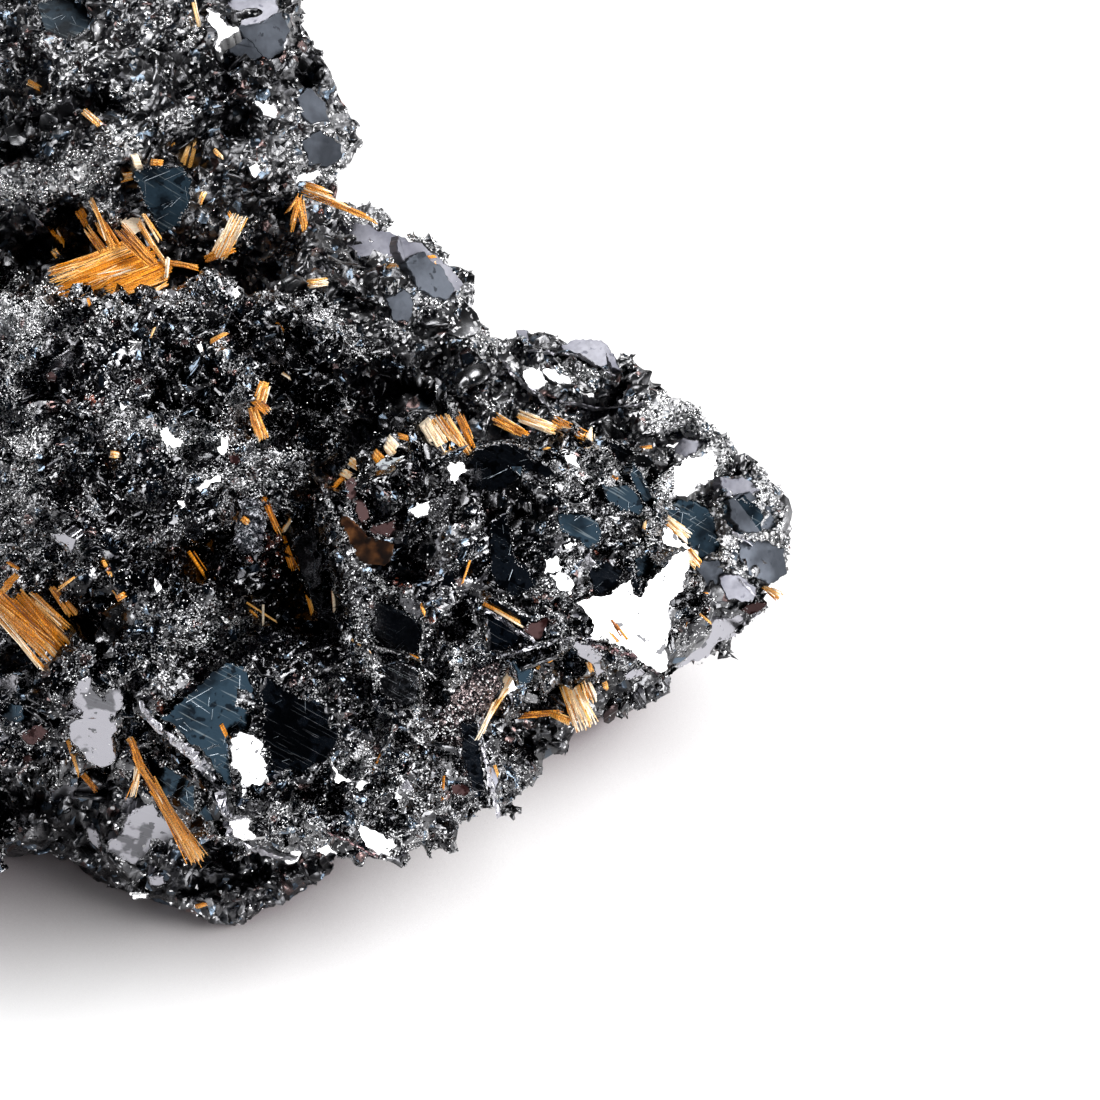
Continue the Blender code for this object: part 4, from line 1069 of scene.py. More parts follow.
def edge_band(course, normal, surface, rng):
    """A raised edge: a band along a course, its face turned to the normal, with walls down into the skin.

    course is (x, y, half width) in pixels. The face is a grid of (step along, step across), roughened.
    """
    course = np.array(course, float)
    run = np.concatenate(((0,), np.cumsum(np.linalg.norm(np.diff(course[:, :2], axis=0), axis=1))))
    count = max(6, int(run[-1] / 3.5))
    where = np.linspace(0, run[-1], count)
    line = np.stack([np.interp(where, run, course[:, k]) for k in range(3)], axis=1)
    line[:, :2] += rng.normal(0, 0.5, (count, 2))
    depths, spots = [], []
    for spot, pixel in zip(where, line[:, :2]):
        hit = surface.hits(pixel[None])
        if len(hit):
            depths.append(float((hit[0] - EYE) @ AHEAD))
            spots.append(spot)
    if len(depths) < 2:
        return None
    depth = np.interp(where, spots, depths)
    kernel = np.exp(-0.5 * ((where[:, None] - where[None]) / max(12.0, run[-1] / 8)) ** 2)
    smooth = (kernel * depth[None]).sum(1) / kernel.sum(1)
    depth = np.minimum(smooth, depth) - 0.5
    middle = EYE + pixel_rays(line[:, :2]) * depth[:, None]
    tangent = unit(np.gradient(middle, axis=0))
    across = unit(np.cross(normal[None], tangent))
    half = line[:, 2] * depth * PIXEL
    flat = across - (across @ AHEAD)[:, None] * AHEAD
    stretch = np.clip(np.linalg.norm(flat, axis=1), 0.5, 1)
    half = np.minimum(half / stretch, half * 1.6)
    ends = np.sin(np.clip(np.linspace(0, math.pi, count), 0.25, math.pi - 0.25)) ** 0.3
    half = half * ends * rng.uniform(0.75, 1.2, count)
    places = np.array((-1, -1, -0.5, 0, 0.5, 1, 1.0))
    sink = np.array((1.8, 0.05, 0, 0, 0, 0.05, 1.8))
    band = middle[:, None] + across[:, None] * (half[:, None] * places)[..., None]
    band = band + AHEAD * sink[None, :, None]
    inner = slice(1, 6)
    band[:, inner] += normal * rng.normal(0, 0.022, (count, 5, 1)) + rng.normal(0, 0.025, (count, 5, 3))
    band[:, inner] += AHEAD * rng.uniform(-0.06, 0.06, (count, 1, 1))
    wide = len(places)
    i, j = np.meshgrid(np.arange(count - 1), np.arange(wide - 1), indexing="ij")
    a = (i * wide + j).ravel()
    quads = np.stack((a, a + 1, a + wide + 1, a + wide), 1)
    faces = quads.tolist()
    faces.append(list(range(wide))[::-1])
    faces.append([(count - 1) * wide + k for k in range(wide)])
    points = band.reshape(-1, 3)
    a, b, c = points[quads[:, 0]], points[quads[:, 1]], points[quads[:, 2]]
    if np.sum(np.cross(b - a, c - a) @ -AHEAD) < 0:
        faces = [face[::-1] for face in faces]
    uv = np.stack((np.repeat(where * 0.06, wide), np.tile(places, count) * 0.4), axis=1)
    return points, faces, uv


# ---- materials -------------------------------------------------------------------------------------------


class Value:
    """A number that varies over the surface: wraps a node's socket, and arithmetic on it adds Math nodes."""

    def __init__(self, nodes, socket):
        self.nodes, self.socket = nodes, socket

    def _math(self, operation, *values):
        values = [v.socket if isinstance(v, Value) else v for v in values]
        node = self.nodes.add("ShaderNodeMath", {"operation": operation}, dict(enumerate(values)))
        return Value(self.nodes, node.outputs[0])

    def __add__(self, other):
        return self._math("ADD", self, other)

    def __radd__(self, other):
        return self._math("ADD", other, self)

    def __sub__(self, other):
        return self._math("SUBTRACT", self, other)

    def __rsub__(self, other):
        return self._math("SUBTRACT", other, self)

    def __mul__(self, other):
        return self._math("MULTIPLY", self, other)

    def __rmul__(self, other):
        return self._math("MULTIPLY", other, self)

    def above(self, edge):
        return self._math("GREATER_THAN", self, edge)

    def rising(self, low, high):
        """0 below low, 1 above high, and a straight line between."""
        sockets = {0: self, 1: low, 2: high, 3: 0.0, 4: 1.0}
        node = self.nodes.add("ShaderNodeMapRange", {"clamp": True}, sockets)
        return Value(self.nodes, node.outputs[0])


class Nodes:
    """Builds one node tree: add makes any node from its type, settings and sockets."""

    def __init__(self, tree):
        self.tree = tree

    def add(self, kind, settings=None, sockets=None):
        node = self.tree.nodes.new(kind)
        for key, setting in (settings or {}).items():
            setattr(node, key, setting)
        for key, value in (sockets or {}).items():
            value = value.socket if isinstance(value, Value) else value
            if isinstance(value, bpy.types.NodeSocket):
                self.tree.links.new(value, node.inputs[key])
            else:
                node.inputs[key].default_value = value
        return node

    def feed(self, shader, name, value):
        """Links a varying value to one of the shader's sockets."""
        self.tree.links.new(value.socket if isinstance(value, Value) else value, shader.inputs[name])

    def mix(self, share, first, second):
        """A colour between two colours."""
        return self.add("ShaderNodeMix", {"data_type": "RGBA"}, {0: share, 6: first, 7: second}).outputs[2]

    def vector(self, operation, *values):
        return self.add("ShaderNodeVectorMath", {"operation": operation}, dict(enumerate(values))).outputs[0]

    def scaled(self, vector, factor):
        return self.add("ShaderNodeVectorMath", {"operation": "SCALE"}, {0: vector, 3: factor}).outputs[0]

    def noise(self, vector, scale, detail=2.0):
        node = self.add("ShaderNodeTexNoise", None, {"Vector": vector, "Scale": scale, "Detail": detail})
        return Value(self, node.outputs["Fac"])

    def cells(self, vector, scale):
        """A random colour in each cell of space."""
        sockets = {"Vector": vector, "Scale": scale}
        return self.add("ShaderNodeTexVoronoi", {"feature": "F1"}, sockets).outputs["Color"]

    def three(self, colour):
        """The three parts of a colour as values."""
        split = self.add("ShaderNodeSeparateColor", None, {0: colour})
        return [Value(self, split.outputs[k]) for k in range(3)]

    def own(self):
        """The crystal's own three random numbers."""
        return self.three(self.add("ShaderNodeAttribute", {"attribute_name": "crystal"}).outputs["Color"])

    def lines(self, turn, across, edge):
        """Fine straight lines on a face, at a turn: noise stretched along them, and cut at an edge."""
        face = self.add("ShaderNodeUVMap", {"uv_map": "face"}).outputs[0]
        turned = self.add("ShaderNodeMapping", None, {"Vector": face, "Rotation": (0, 0, turn)}).outputs[0]
        drawn = self.add("ShaderNodeMapping", None, {"Vector": turned, "Scale": (0.3, across, 1)}).outputs[0]
        return self.noise(drawn, 1.0, 1.0).rising(edge, edge + 0.04)


def new_material(name):
    material = bpy.data.materials.new(name)
    material.use_nodes = True
    tree = material.node_tree
    return material, Nodes(tree), tree.nodes["Principled BSDF"]


def rgb(red, green, blue):
    return (red, green, blue, 1.0)


SOOT = rgb(0.02, 0.02, 0.023)
STEEL = rgb(0.29, 0.29, 0.30)
FROST = rgb(0.74, 0.74, 0.75)
SMOKE = rgb(0.12, 0.12, 0.13)
NIGHT = rgb(0.12, 0.16, 0.21)
BLUE = rgb(0.0046, 0.0082, 0.0118)
LILAC = rgb(0.37, 0.365, 0.40)
LIVER = rgb(0.15, 0.095, 0.09)
MAUVE = rgb(0.16, 0.10, 0.105)
PALE = rgb(0.52, 0.58, 0.59)


def hematite(name, crystals=True, grit=0.2, dull=0.08, scratches=0.0, tint=None, stain=SOOT, stained=0.25,
        dust=0.1, veil=0.0):
    """Black metallic hematite.

    crystals: each crystal carries its own random numbers, for tint and polish. grit: how far the tiny facets
    lean from the face. dull: base roughness. scratches: strength of fine straight lines on the face. tint: a
    face's colour, with patches of the stain over the stained share of it, which fade out over the veil. dust:
    share of tiny frosty specks, closer together in patches. Far off all of this grain is coarser. The ground's
    darkness darkens the colour to near black, as painted shade; its frost brightens it and adds specks, partly
    painted light.
    """
    material, nodes, shader = new_material(name)
    place = nodes.add("ShaderNodeTexCoord").outputs["Object"]
    depth = nodes.add("ShaderNodeVectorMath", {"operation": "DOT_PRODUCT"}, {0: place, 1: tuple(AHEAD)})
    eye = float(EYE @ AHEAD)
    near, away = (eye + FOCUS_DEPTH + 4) * MM, (eye + FOCUS_DEPTH + 9) * MM
    far = Value(nodes, depth.outputs["Value"]).rising(near, away)
    fine_cells, coarse_cells = nodes.cells(place, 12500.0), nodes.cells(place, 5200.0)
    cell = nodes.mix(far.above(0.5), fine_cells, coarse_cells)
    fine = nodes.noise(place, 1500.0, 3.0)
    patches = nodes.noise(place, 330.0, 4.0)
    speck, gloss, _ = nodes.three(cell)
    broad_cells, plate_cells = nodes.cells(place, 750.0), nodes.cells(place, 1700.0)
    tone, polish, kind = nodes.own() if crystals else nodes.three(plate_cells)
    ground = nodes.add("ShaderNodeAttribute", {"attribute_name": "ground"})
    frost_and_painted_light, dark, smooth = nodes.three(ground.outputs["Color"])
    glass = 0.0
    if not crystals:
        chance, height, _ = nodes.three(broad_cells)
        glass = (chance + kind * 0.4 - frost_and_painted_light * 0.5).above(0.52)
    if tint is None:
        # Frost brightens the colour: partly frosty grit, partly painted light.
        colour = nodes.mix(tone * tone * 0.5 + fine.rising(0.45, 0.7) * 0.4 + frost_and_painted_light * 0.6, SOOT, STEEL)
        colour = nodes.mix(kind.above(0.93) * 0.8, colour, NIGHT)
        colour = nodes.mix((1 - kind).above(0.965) * 0.8, colour, LIVER)
    else:
        edge = 0.66 - stained * 0.37
        colour = nodes.mix(patches.rising(edge, edge + 0.03 + veil) * 0.9, tint, stain)
        edge = 0.655 - stained * 0.3 + veil
        colour = nodes.mix(fine.rising(edge, edge + 0.02 + veil * 0.2) * 0.92, colour, stain)
    # Painted shade: the ground's darkness turns the colour to near black.
    colour = nodes.mix(dark * 0.88, colour, rgb(0.005, 0.005, 0.006))
    share = patches.rising(0.42, 0.62) * fine.rising(0.38, 0.55) * (dust * 2.4) + dust * 0.3
    if not crystals:
        sockets = {"Vector": place, "Scale": 750.0}
        rim = nodes.add("ShaderNodeTexVoronoi", {"feature": "DISTANCE_TO_EDGE"}, sockets).outputs["Distance"]
        rim = 1 - Value(nodes, rim).rising(0.02, 0.07)
        share = share * (1 - glass * 0.8) + rim * height * 0.35
    # Frost adds bright specks, partly painted light; darkness takes them away, as painted shade.
    share = (share * (1 - far * 0.7) + frost_and_painted_light * 0.42) * (1 - smooth * 0.7) * (1 - dark * 0.9)
    dusty = (speck + share).above(1.0)
    colour = nodes.mix(dusty, colour, FROST)
    shader.inputs["Metallic"].default_value = 1.0
    rough = dull + polish * 0.08 + gloss * 0.06 + dusty * 0.28 + far * 0.16
    nodes.feed(shader, "Roughness", rough + smooth * (1 - dark) * 0.25)

    normal = nodes.add("ShaderNodeNewGeometry").outputs["Normal"]
    lean = nodes.vector("SUBTRACT", cell, (0.5, 0.5, 0.5))
    lean_more = nodes.vector("SUBTRACT", nodes.cells(place, 3300.0), (0.5, 0.5, 0.5))
    calm = (1 - smooth * 0.85) * (1 - far * 0.6)
    if not crystals:
        calm = calm * (1 - glass * 0.88)
    leaning = nodes.scaled(lean, dusty * 1.1 + calm * grit)
    leaning = nodes.vector("ADD", leaning, nodes.scaled(lean_more, calm * (grit * 0.8)))
    if not crystals:
        lean_plate = nodes.vector("SUBTRACT", plate_cells, (0.5, 0.5, 0.5))
        leaning = nodes.vector("ADD", leaning, nodes.scaled(lean_plate, (1 - smooth) * 0.55))
    normal = nodes.vector("NORMALIZE", nodes.vector("ADD", normal, leaning))
    if scratches:
        drawn = nodes.lines(0.5, 7.0, 0.62)
        colour = nodes.mix(drawn * (0.5 * scratches), colour, PALE)
        sockets = {"Strength": scratches, "Distance": 0.00004, "Height": drawn, "Normal": normal}
        normal = nodes.add("ShaderNodeBump", None, sockets).outputs[0]
    nodes.feed(shader, "Base Color", colour)
    nodes.feed(shader, "Normal", normal)
    return material


def brown_painted_glow():
    """A thin plate with a painted glow, as if light came through it: brown orange, with black holes."""
    material, nodes, shader = new_material("brown_painted_glow")
    place = nodes.add("ShaderNodeTexCoord").outputs["Object"]
    broad = nodes.noise(place, 330.0, 3.0)
    fine = nodes.noise(place, 1300.0, 3.0)
    colour = nodes.mix(fine.rising(0.38, 0.62), rgb(0.03, 0.010, 0.004), rgb(0.26, 0.10, 0.03))
    colour = nodes.mix(broad.rising(0.46, 0.60), colour, rgb(0.006, 0.003, 0.002))
    nodes.feed(shader, "Base Color", colour)
    shader.inputs["Roughness"].default_value = 0.35
    shader.inputs["Specular IOR Level"].default_value = 0.15
    return material


def red_glass():
    """Small hematite crystals thin enough to show their red inside."""
    material, nodes, shader = new_material("red_glass")
    tone, polish, _ = nodes.own()
    place = nodes.add("ShaderNodeTexCoord").outputs["Object"]
    fine = nodes.noise(place, 1800.0, 2.0)
    colour = nodes.mix(tone, rgb(0.10, 0.02, 0.015), rgb(0.30, 0.075, 0.035))
    colour = nodes.mix(fine.rising(0.42, 0.6) * 0.8, colour, rgb(0.02, 0.012, 0.012))
    nodes.feed(shader, "Base Color", colour)
    nodes.feed(shader, "Roughness", 0.08 + polish * 0.2)
    shader.inputs["IOR"].default_value = 2.4
    return material


def rutile():
    """Golden rutile: every lath has its own shade from brown to cream, partly painted highlight and shade,
    streaks along it, a paler tip, and a faint painted glow.
    """
    material, nodes, shader = new_material("rutile_laths")
    tone, polish, along = nodes.own()
    streak = nodes.lines(0.0, 16.0, 0.50)
    finer = nodes.lines(0.0, 34.0, 0.52)
    shade = tone + (polish - 0.5) * 0.36 + along * 0.10 - finer * 0.10 + 0.06
    colour = nodes.mix(shade.rising(0.0, 0.35), rgb(0.22, 0.05, 0.002), rgb(0.95, 0.34, 0.012))
    colour = nodes.mix(shade.rising(0.38, 0.82), colour, rgb(1.0, 0.56, 0.15))
    colour = nodes.mix(shade.rising(0.8, 1.0), colour, rgb(1.0, 0.86, 0.66))
    # Dark streaks along the laths: partly the fibre grain, partly painted shade in the gaps between fibres.
    deep = rgb(0.10, 0.022, 0.001)
    colour = nodes.mix(streak * (1 - tone.rising(0.6, 0.95) * 0.75) * 0.8, colour, deep)
    shader.inputs["Specular IOR Level"].default_value = 0.25
    # Painted glow: the laths emit a little of their own colour, though they are no lamp.
    shader.inputs["Emission Strength"].default_value = 0.22
    nodes.feed(shader, "Emission Color", colour)
    nodes.feed(shader, "Base Color", colour)
    nodes.feed(shader, "Roughness", 0.28 + polish * 0.25)
    sockets = {"Strength": 0.6, "Distance": 0.00003, "Height": streak + finer}
    nodes.feed(shader, "Normal", nodes.add("ShaderNodeBump", None, sockets).outputs[0])
    shader.inputs["IOR"].default_value = 1.9
    return material


def white_paper():
    """White matt paper with the faintest grain, and a painted contact shadow: its colour darkens close under
    the specimen, as in the photograph.
    """
    material, nodes, shader = new_material("white_paper")
    place = nodes.add("ShaderNodeTexCoord").outputs["Object"]
    colour = nodes.mix(nodes.noise(place, 60.0), rgb(PAPER, PAPER, PAPER), rgb(PAPER + 0.01, PAPER, PAPER))
    # Painted shadow: ambient occlusion darkens the paper's colour towards grey mauve close under the specimen.
    open_sky = nodes.add("ShaderNodeAmbientOcclusion", {"samples": 8},
        {"Distance": PAINTED_SHADOW_REACH}).outputs["AO"]
    colour = nodes.mix(Value(nodes, open_sky).rising(0.05, 0.95), rgb(0.16, 0.12, 0.13), colour)
    nodes.feed(shader, "Base Color", colour)
    shader.inputs["Roughness"].default_value = 0.9
    shader.inputs["Specular IOR Level"].default_value = 0.1
    return material


# ---- pieces of hematite ----------------------------------------------------------------------------------


FACET_FINISH = {
    "white": dict(grit=0.10, dull=0.12, tint=rgb(0.42, 0.42, 0.425), stained=0.02, dust=0.05),
    "pale": dict(grit=0.10, dull=0.14, tint=PALE, stained=0.18, dust=0.05),
    "grey": dict(grit=0.05, dull=0.14, scratches=0.15, tint=rgb(0.40, 0.395, 0.43),
        stain=SMOKE, stained=0.15, dust=0.005),
    "mist": dict(grit=0.02, dull=0.30, tint=rgb(0.20, 0.20, 0.225),
        stain=rgb(0.09, 0.09, 0.11), stained=0.75, dust=0.0, veil=0.19),
    "haze": dict(grit=0.02, dull=0.30, tint=rgb(0.085, 0.094, 0.112),
        stain=rgb(0.025, 0.028, 0.034), stained=0.75, dust=0.0, veil=0.19),
    "ash": dict(grit=0.9, dull=0.20, tint=rgb(0.15, 0.12, 0.12), stain=SOOT, stained=0.0, dust=0.10),
    "dusk": dict(grit=0.10, dull=0.16, tint=SMOKE, stained=0.2, dust=0.03),
    "blue": dict(grit=0.04, dull=0.10, scratches=0.07, tint=BLUE,
        stain=rgb(0.0012, 0.0018, 0.0026), stained=0.46, dust=0.0, veil=0.08),
    "dark": dict(grit=0.07, dull=0.07, scratches=0.25, tint=SMOKE, stain=SOOT, stained=0.35, dust=0.0),
    "mauve": dict(grit=0.06, dull=0.18, tint=rgb(0.0150, 0.0085, 0.0085),
        stain=rgb(0.003, 0.001, 0.001), dust=0.002),
}
EDGE_FINISH = {
    "grit": dict(grit=0.20, dull=0.20, tint=rgb(0.45, 0.45, 0.46), stained=0.62, dust=0.2),
    "ribbon": dict(grit=0.10, dull=0.18, tint=LILAC, stain=SMOKE, stained=0.22, dust=0.1),
    "brown": dict(grit=0.40, dull=0.14, tint=MAUVE, stain=SOOT, stained=0.3, dust=0.06),
}


def facet_pieces(plans):
    """The flat faces as thin ragged plates, one piece for each kind of face."""
    rng = np.random.default_rng(SEED + 1)
    groups = {}
    for kind, normal, level, corners in plans.values():
        ragged = 1.5 if kind == "white" and len(corners) < 12 else 1.0
        made = outline_plate(corners, normal, level, PLATE_DEPTH, rng, ragged)
        groups.setdefault(kind, []).append((*made, rng.random(3)))
    for kind, parts in groups.items():
        points, faces, crystal, uv = joined(parts)
        finish = brown_painted_glow() if kind == "web" else hematite("face_" + kind, **FACET_FINISH[kind])
        make_piece("faces_" + kind, points, faces, finish, crystal, uv)


def edge_pieces(surface):
    """The raised edges, one piece for each kind of face."""
    rng = np.random.default_rng(SEED + 2)
    groups = {}
    for name, ((kind, mirrored), course) in EDGES.items():
        normal = mirror_normal(MIRRORED[mirrored])
        hits = surface.hits(course[:, :2])
        if mirrored in LIGHT_CHOICES and len(hits):
            found, _ = nearest_lights(surface, hits - AHEAD * 0.8, np.tile(normal, (len(hits), 1)))
            normal = found[len(hits) // 2]
        made = edge_band(course, normal, surface, rng)
        if made is None:
            print("no skin at", name)
            continue
        groups.setdefault(kind, []).append((*made, rng.random(3)))
    for kind, parts in groups.items():
        points, faces, crystal, uv = joined(parts)
        finish = hematite("edge_" + kind, **EDGE_FINISH[kind])
        make_piece("edges_" + kind, points, faces, finish, crystal, uv)


class Growth:
    """How much may grow where on the skin: little on flat faces, none in sprays, more on the seen side."""

    def __init__(self, surface, plans, laths):
        self.surface = surface
        middles = surface.middles
        pixels, depth = seen_pixels(middles)
        self.front = in_front(pixels, depth, 1.5) & (surface.normals @ AHEAD < 0.15)
        self.ground = ground_at(middles, 2.5)
        bare, roomy = np.ones(len(middles)), np.ones(len(middles))
        for kind, _, _, corners in plans.values():
            share = 0.3 if kind in ("haze", "mist") else 0.0 if kind in ("dark", "blue") else 0.02
            bare[self.front & in_outline(pixels, grown(corners, -1))] = share
            roomy[self.front & in_outline(pixels, grown(corners, 12))] = 0
        for root, tip, room in laths:
            run = tip - root
            share = np.clip(((middles - root) @ run) / (run @ run), 0, 1)
            distance = np.linalg.norm(middles - root - share[:, None] * run, axis=1)
            bare[distance < room] = 0
            roomy[distance < room + 0.6] = 0
        self.bare = bare * np.clip(middles[:, 2] / 0.8, 0, 1)
        self.roomy = roomy * self.bare
        self.coarseness = np.where(self.front,
            1 + 0.8 * rising(depth, FOCUS_DEPTH, FOCUS_DEPTH + BLUR_DEPTH), 1.3)
        frost_and_painted_light, dark, smooth = self.ground.T
        self.bare *= (1 - 0.6 * dark) * (1 - 0.85 * smooth)
        self.bright = np.where(self.front, 0.05 + 0.75 * frost_and_painted_light, 0.04 + 0.3 * frost_and_painted_light) * (1 - dark)
        self.level = self.bare * np.clip(np.abs(surface.normals @ AHEAD) * 3, 0.1, 1)
        self.patchy = 0.2 + 1.6 * rising(soft_noise(middles, 3.0, 5), 0.35, 0.7)

    def lit_axes(self, points, chosen, normals, rng, sure=False):
        """Ways for crystals to look, of which the field's share mirror the nearest free light."""
        lit = rng.random(len(chosen)) < (2 if sure else self.bright[chosen])
        picked = np.flatnonzero(lit)
        towards, free = nearest_lights(self.surface, points[picked] + normals[picked] * 0.3, normals[picked])
        axes = normals.copy()
        axes[picked[free]] = unit(towards[free] + rng.normal(0, 0.07, (free.sum(), 3)))
        lit[picked[~free]] = False
        return axes, lit


def scattered_plates(growth, name, count, radius, thick, corners, material, seed):
    """Many jagged plates, leaned together in books: one direction over each few millimetres of the skin."""
    rng = np.random.default_rng(SEED + seed)
    weight = growth.level
    facing = np.abs(growth.surface.normals @ AHEAD)
    if radius[1] > 1.2:
        weight = weight * (growth.roomy > 0) * np.where(growth.front, np.clip((facing - 0.3) * 3, 0, 1), 1)
    else:
        weight = weight * np.where(growth.front, np.clip((facing - 0.12) * 4, 0.08, 1), 1)
    points, normals, chosen = growth.surface.scatter(count, rng, weight * (0.55 + 0.45 * growth.front))
    book = crystal_cells(points, 5.5, SEED + 7)[0] * 2 - 1
    loose = normals * rng.uniform(1.0, 2.4, (count, 1)) + unit(book) * 0.8
    loose = unit(loose + rng.normal(0, 0.2, (count, 3)))
    axes, lit = growth.lit_axes(points, chosen, normals, rng)
    leaning = np.where(lit[:, None], axes, loose)
    leaning *= np.sign((leaning * normals).sum(1))[:, None]
    turns = turns_from(leaning, rng.normal(size=(count, 3)))
    sizes = radius[0] * (radius[1] / radius[0]) ** (rng.random(count) ** 2.2)
    thickness = np.clip(sizes * rng.uniform(*thick, count), 0.05, 1.0)
    outlines = jagged_outlines(count, corners, rng, 0.25) * sizes[:, None, None]
    outlines *= np.stack((np.ones(count), rng.uniform(0.35, 1.0, count)), 1)[:, None]
    centres = points + normals * (thickness * rng.uniform(-0.4, 0.3, count))[:, None]
    points, faces, uv = plate_arrays(centres, turns, outlines, thickness, np.minimum(0.04, thickness * 0.2))
    per = len(points) // count
    crystal, ground = np.repeat(rng.random((count, 3)), per, 0), np.repeat(growth.ground[chosen], per, 0)
    return make_piece(name, points, faces, material, crystal, uv, ground)


def scattered_grains(growth, name, count, radius, material, seed):
    """Fine grains all over the skin, finer ones far more often."""
    rng = np.random.default_rng(SEED + seed)
    weight = growth.bare * growth.patchy * (0.35 + 0.65 * growth.front) * (1 + 1.5 * growth.bright)
    points, normals, chosen = growth.surface.scatter(count, rng, weight / growth.coarseness**1.5)
    sizes = radius[0] * (radius[1] / radius[0]) ** (rng.random(count) ** 1.8) * growth.coarseness[chosen]
    axes, lit = growth.lit_axes(points, chosen, normals, rng)
    leaning = np.where(lit[:, None], axes, unit(normals + rng.normal(0, 0.5, (count, 3))))
    flat = np.where(lit, 0.09, rng.uniform(0.2, 0.6, count))
    shape = np.stack((np.ones(count), rng.uniform(0.6, 1.0, count), flat), 1)
    turns = turns_from(leaning, rng.normal(size=(count, 3)))
    centres = points + normals * (sizes * 0.05)[:, None]
    points, faces = grain_arrays(centres, turns, sizes[:, None] * shape, rng)
    crystal, ground = np.repeat(rng.random((count, 3)), 5, 0), np.repeat(growth.ground[chosen], 5, 0)
    return make_piece(name, points, faces, material, crystal, None, ground)


def frost_grains(growth, name, count, material, seed):
    """Bright specks: flat grains turned to a light, close together in the frost (partly painted light), and
    broader far off.
    """
    rng = np.random.default_rng(SEED + seed)
    frost_and_painted_light, dark, _ = growth.ground.T
    clumps = rising(soft_noise(growth.surface.middles, 0.8, 46), 0.35, 0.75)
    weight = growth.level * (0.03 + frost_and_painted_light * (0.35 + frost_and_painted_light * 1.4)) * (0.25 + clumps) * (1 - 0.9 * dark)
    weight *= (0.25 + 0.75 * growth.front) / growth.coarseness
    points, normals, chosen = growth.surface.scatter(count, rng, weight)
    axes, _ = growth.lit_axes(points, chosen, normals, rng, sure=True)
    turns = turns_from(axes, rng.normal(size=(count, 3)))
    sizes = 0.055 * 3.0 ** rng.random(count) * growth.coarseness[chosen] ** 1.3
    shape = np.stack((np.ones(count), rng.uniform(0.6, 1.0, count), np.full(count, 0.07)), 1)
    centres = points + normals * (sizes * 0.25)[:, None]
    points, faces = grain_arrays(centres, turns, sizes[:, None] * shape, rng)
    return make_piece(name, points, faces, material, np.repeat(rng.random((count, 3)), 5, 0))


def red_crystal_piece(surface):
    """Clusters of small red crystals where the photograph shows them."""
    rng = np.random.default_rng(SEED + 5)
    centres, sizes = [], []
    for x, y, half in RED_CRYSTALS:
        pixels = np.array((x, y)) + rng.normal(0, half * 0.45, (5, 2))
        hits = surface.hits(pixels)
        centres.extend(hits)
        sizes.extend(rng.uniform(0.35, 0.75, len(hits)) * half * 0.06)
    centres, sizes = np.array(centres), np.array(sizes)
    count = len(centres)
    leaning = unit(-AHEAD + rng.normal(0, 0.5, (count, 3)))
    turns = turns_from(leaning, rng.normal(size=(count, 3)))
    outlines = jagged_outlines(count, 6, rng, 0.3) * sizes[:, None, None]
    points, faces, uv = plate_arrays(centres, turns, outlines, sizes * 0.8, sizes * 0.15)
    crystal = np.repeat(rng.random((count, 3)), len(points) // count, 0)
    return make_piece("red_crystals", points, faces, red_glass(), crystal, uv)


# ---- pieces of rutile ------------------------------------------------------------------------------------


def spray_plane(root, tip, looks):
    """The normal and level of the plane in which a spray fans out."""
    side = unit(np.cross(tip - root, looks))
    normal = unit(np.cross(side, tip - root))
    return normal, normal @ root


def bundle(root, tip, root_width, tip_width, count, shade, facing, rng, depth=0.16):
    """One bundle of laths side by side: nearly parallel, of uneven widths and lengths, with needles between.

    Returns the arrays that lath_arrays takes, and each lath's shade.
    """
    axis = unit(tip - root)
    side = unit(np.cross(axis, facing))
    length = np.linalg.norm(tip - root)
    count = count * 2 if count > 2 else count
    thin = count
    total = count + thin
    place = np.concatenate(((np.arange(count) + 0.5) / count * 2 - 1, rng.uniform(-1, 1, thin)))
    place[:count] += rng.normal(0, 0.3 / count, count)
    rise = np.concatenate((rng.uniform(-1, 0.6, count), rng.uniform(0.2, 1.4, thin))) * depth
    start = np.concatenate((rng.uniform(-0.06, 0.06, count), rng.uniform(0.0, 0.6, thin)))
    end = np.concatenate((1 - rng.random(count) ** 2 * 0.22, start[count:] + rng.uniform(0.2, 0.6, thin)))
    end = np.minimum(end, 1.03)
    wander = np.concatenate((rng.normal(0, 0.04, count), rng.normal(0, 0.12, thin)))

    def at(share):
        half = (root_width + (tip_width - root_width) * share) / 2
        spot = root + axis * (share * length)[:, None] + side * (place * half)[:, None]
        return spot + side * (wander * length * (share - 0.5) * 0.5)[:, None] + facing * rise[:, None]

    wide = (root_width + tip_width) / 2 / count
    widths = np.concatenate((wide * rng.uniform(0.7, 1.6, count), rng.uniform(0.04, 0.09, thin)))
    flats = np.clip(rng.uniform(0.18, 0.34, count) / widths[:count], 0.3, 1.2)
    flats = np.concatenate((flats, np.full(thin, 0.7)))
    facings = unit(facing + rng.normal(0, 0.22, (total, 3)))
    # About one lath in six is made darker, painted shade standing for the gaps between laths.
    shades = np.clip(shade + rng.normal(0, 0.15, total) - 0.4 * (rng.random(total) < 0.16), 0, 1)
    return at(start), at(end), widths, flats, facings, shades


def lath_piece(name, bundles, material):
    """One piece of all the laths of the bundles."""
    rng = np.random.default_rng(SEED + sum(map(ord, name)))
    roots, tips, widths, flats, facings, shades = (np.concatenate(column) for column in zip(*bundles))
    count = len(roots)
    points, faces, uv = lath_arrays(roots, tips, widths, flats, facings, 0.85)
    crystal = np.empty((count, 8, 3))
    crystal[:, :, 0] = shades[:, None]
    crystal[:, :, 1] = rng.random((count, 1))
    crystal[:, :, 2] = np.array((0, 0, 0, 0, 1, 1, 1, 1))
    return make_piece(name, points, faces, material, crystal.reshape(-1, 3), uv)


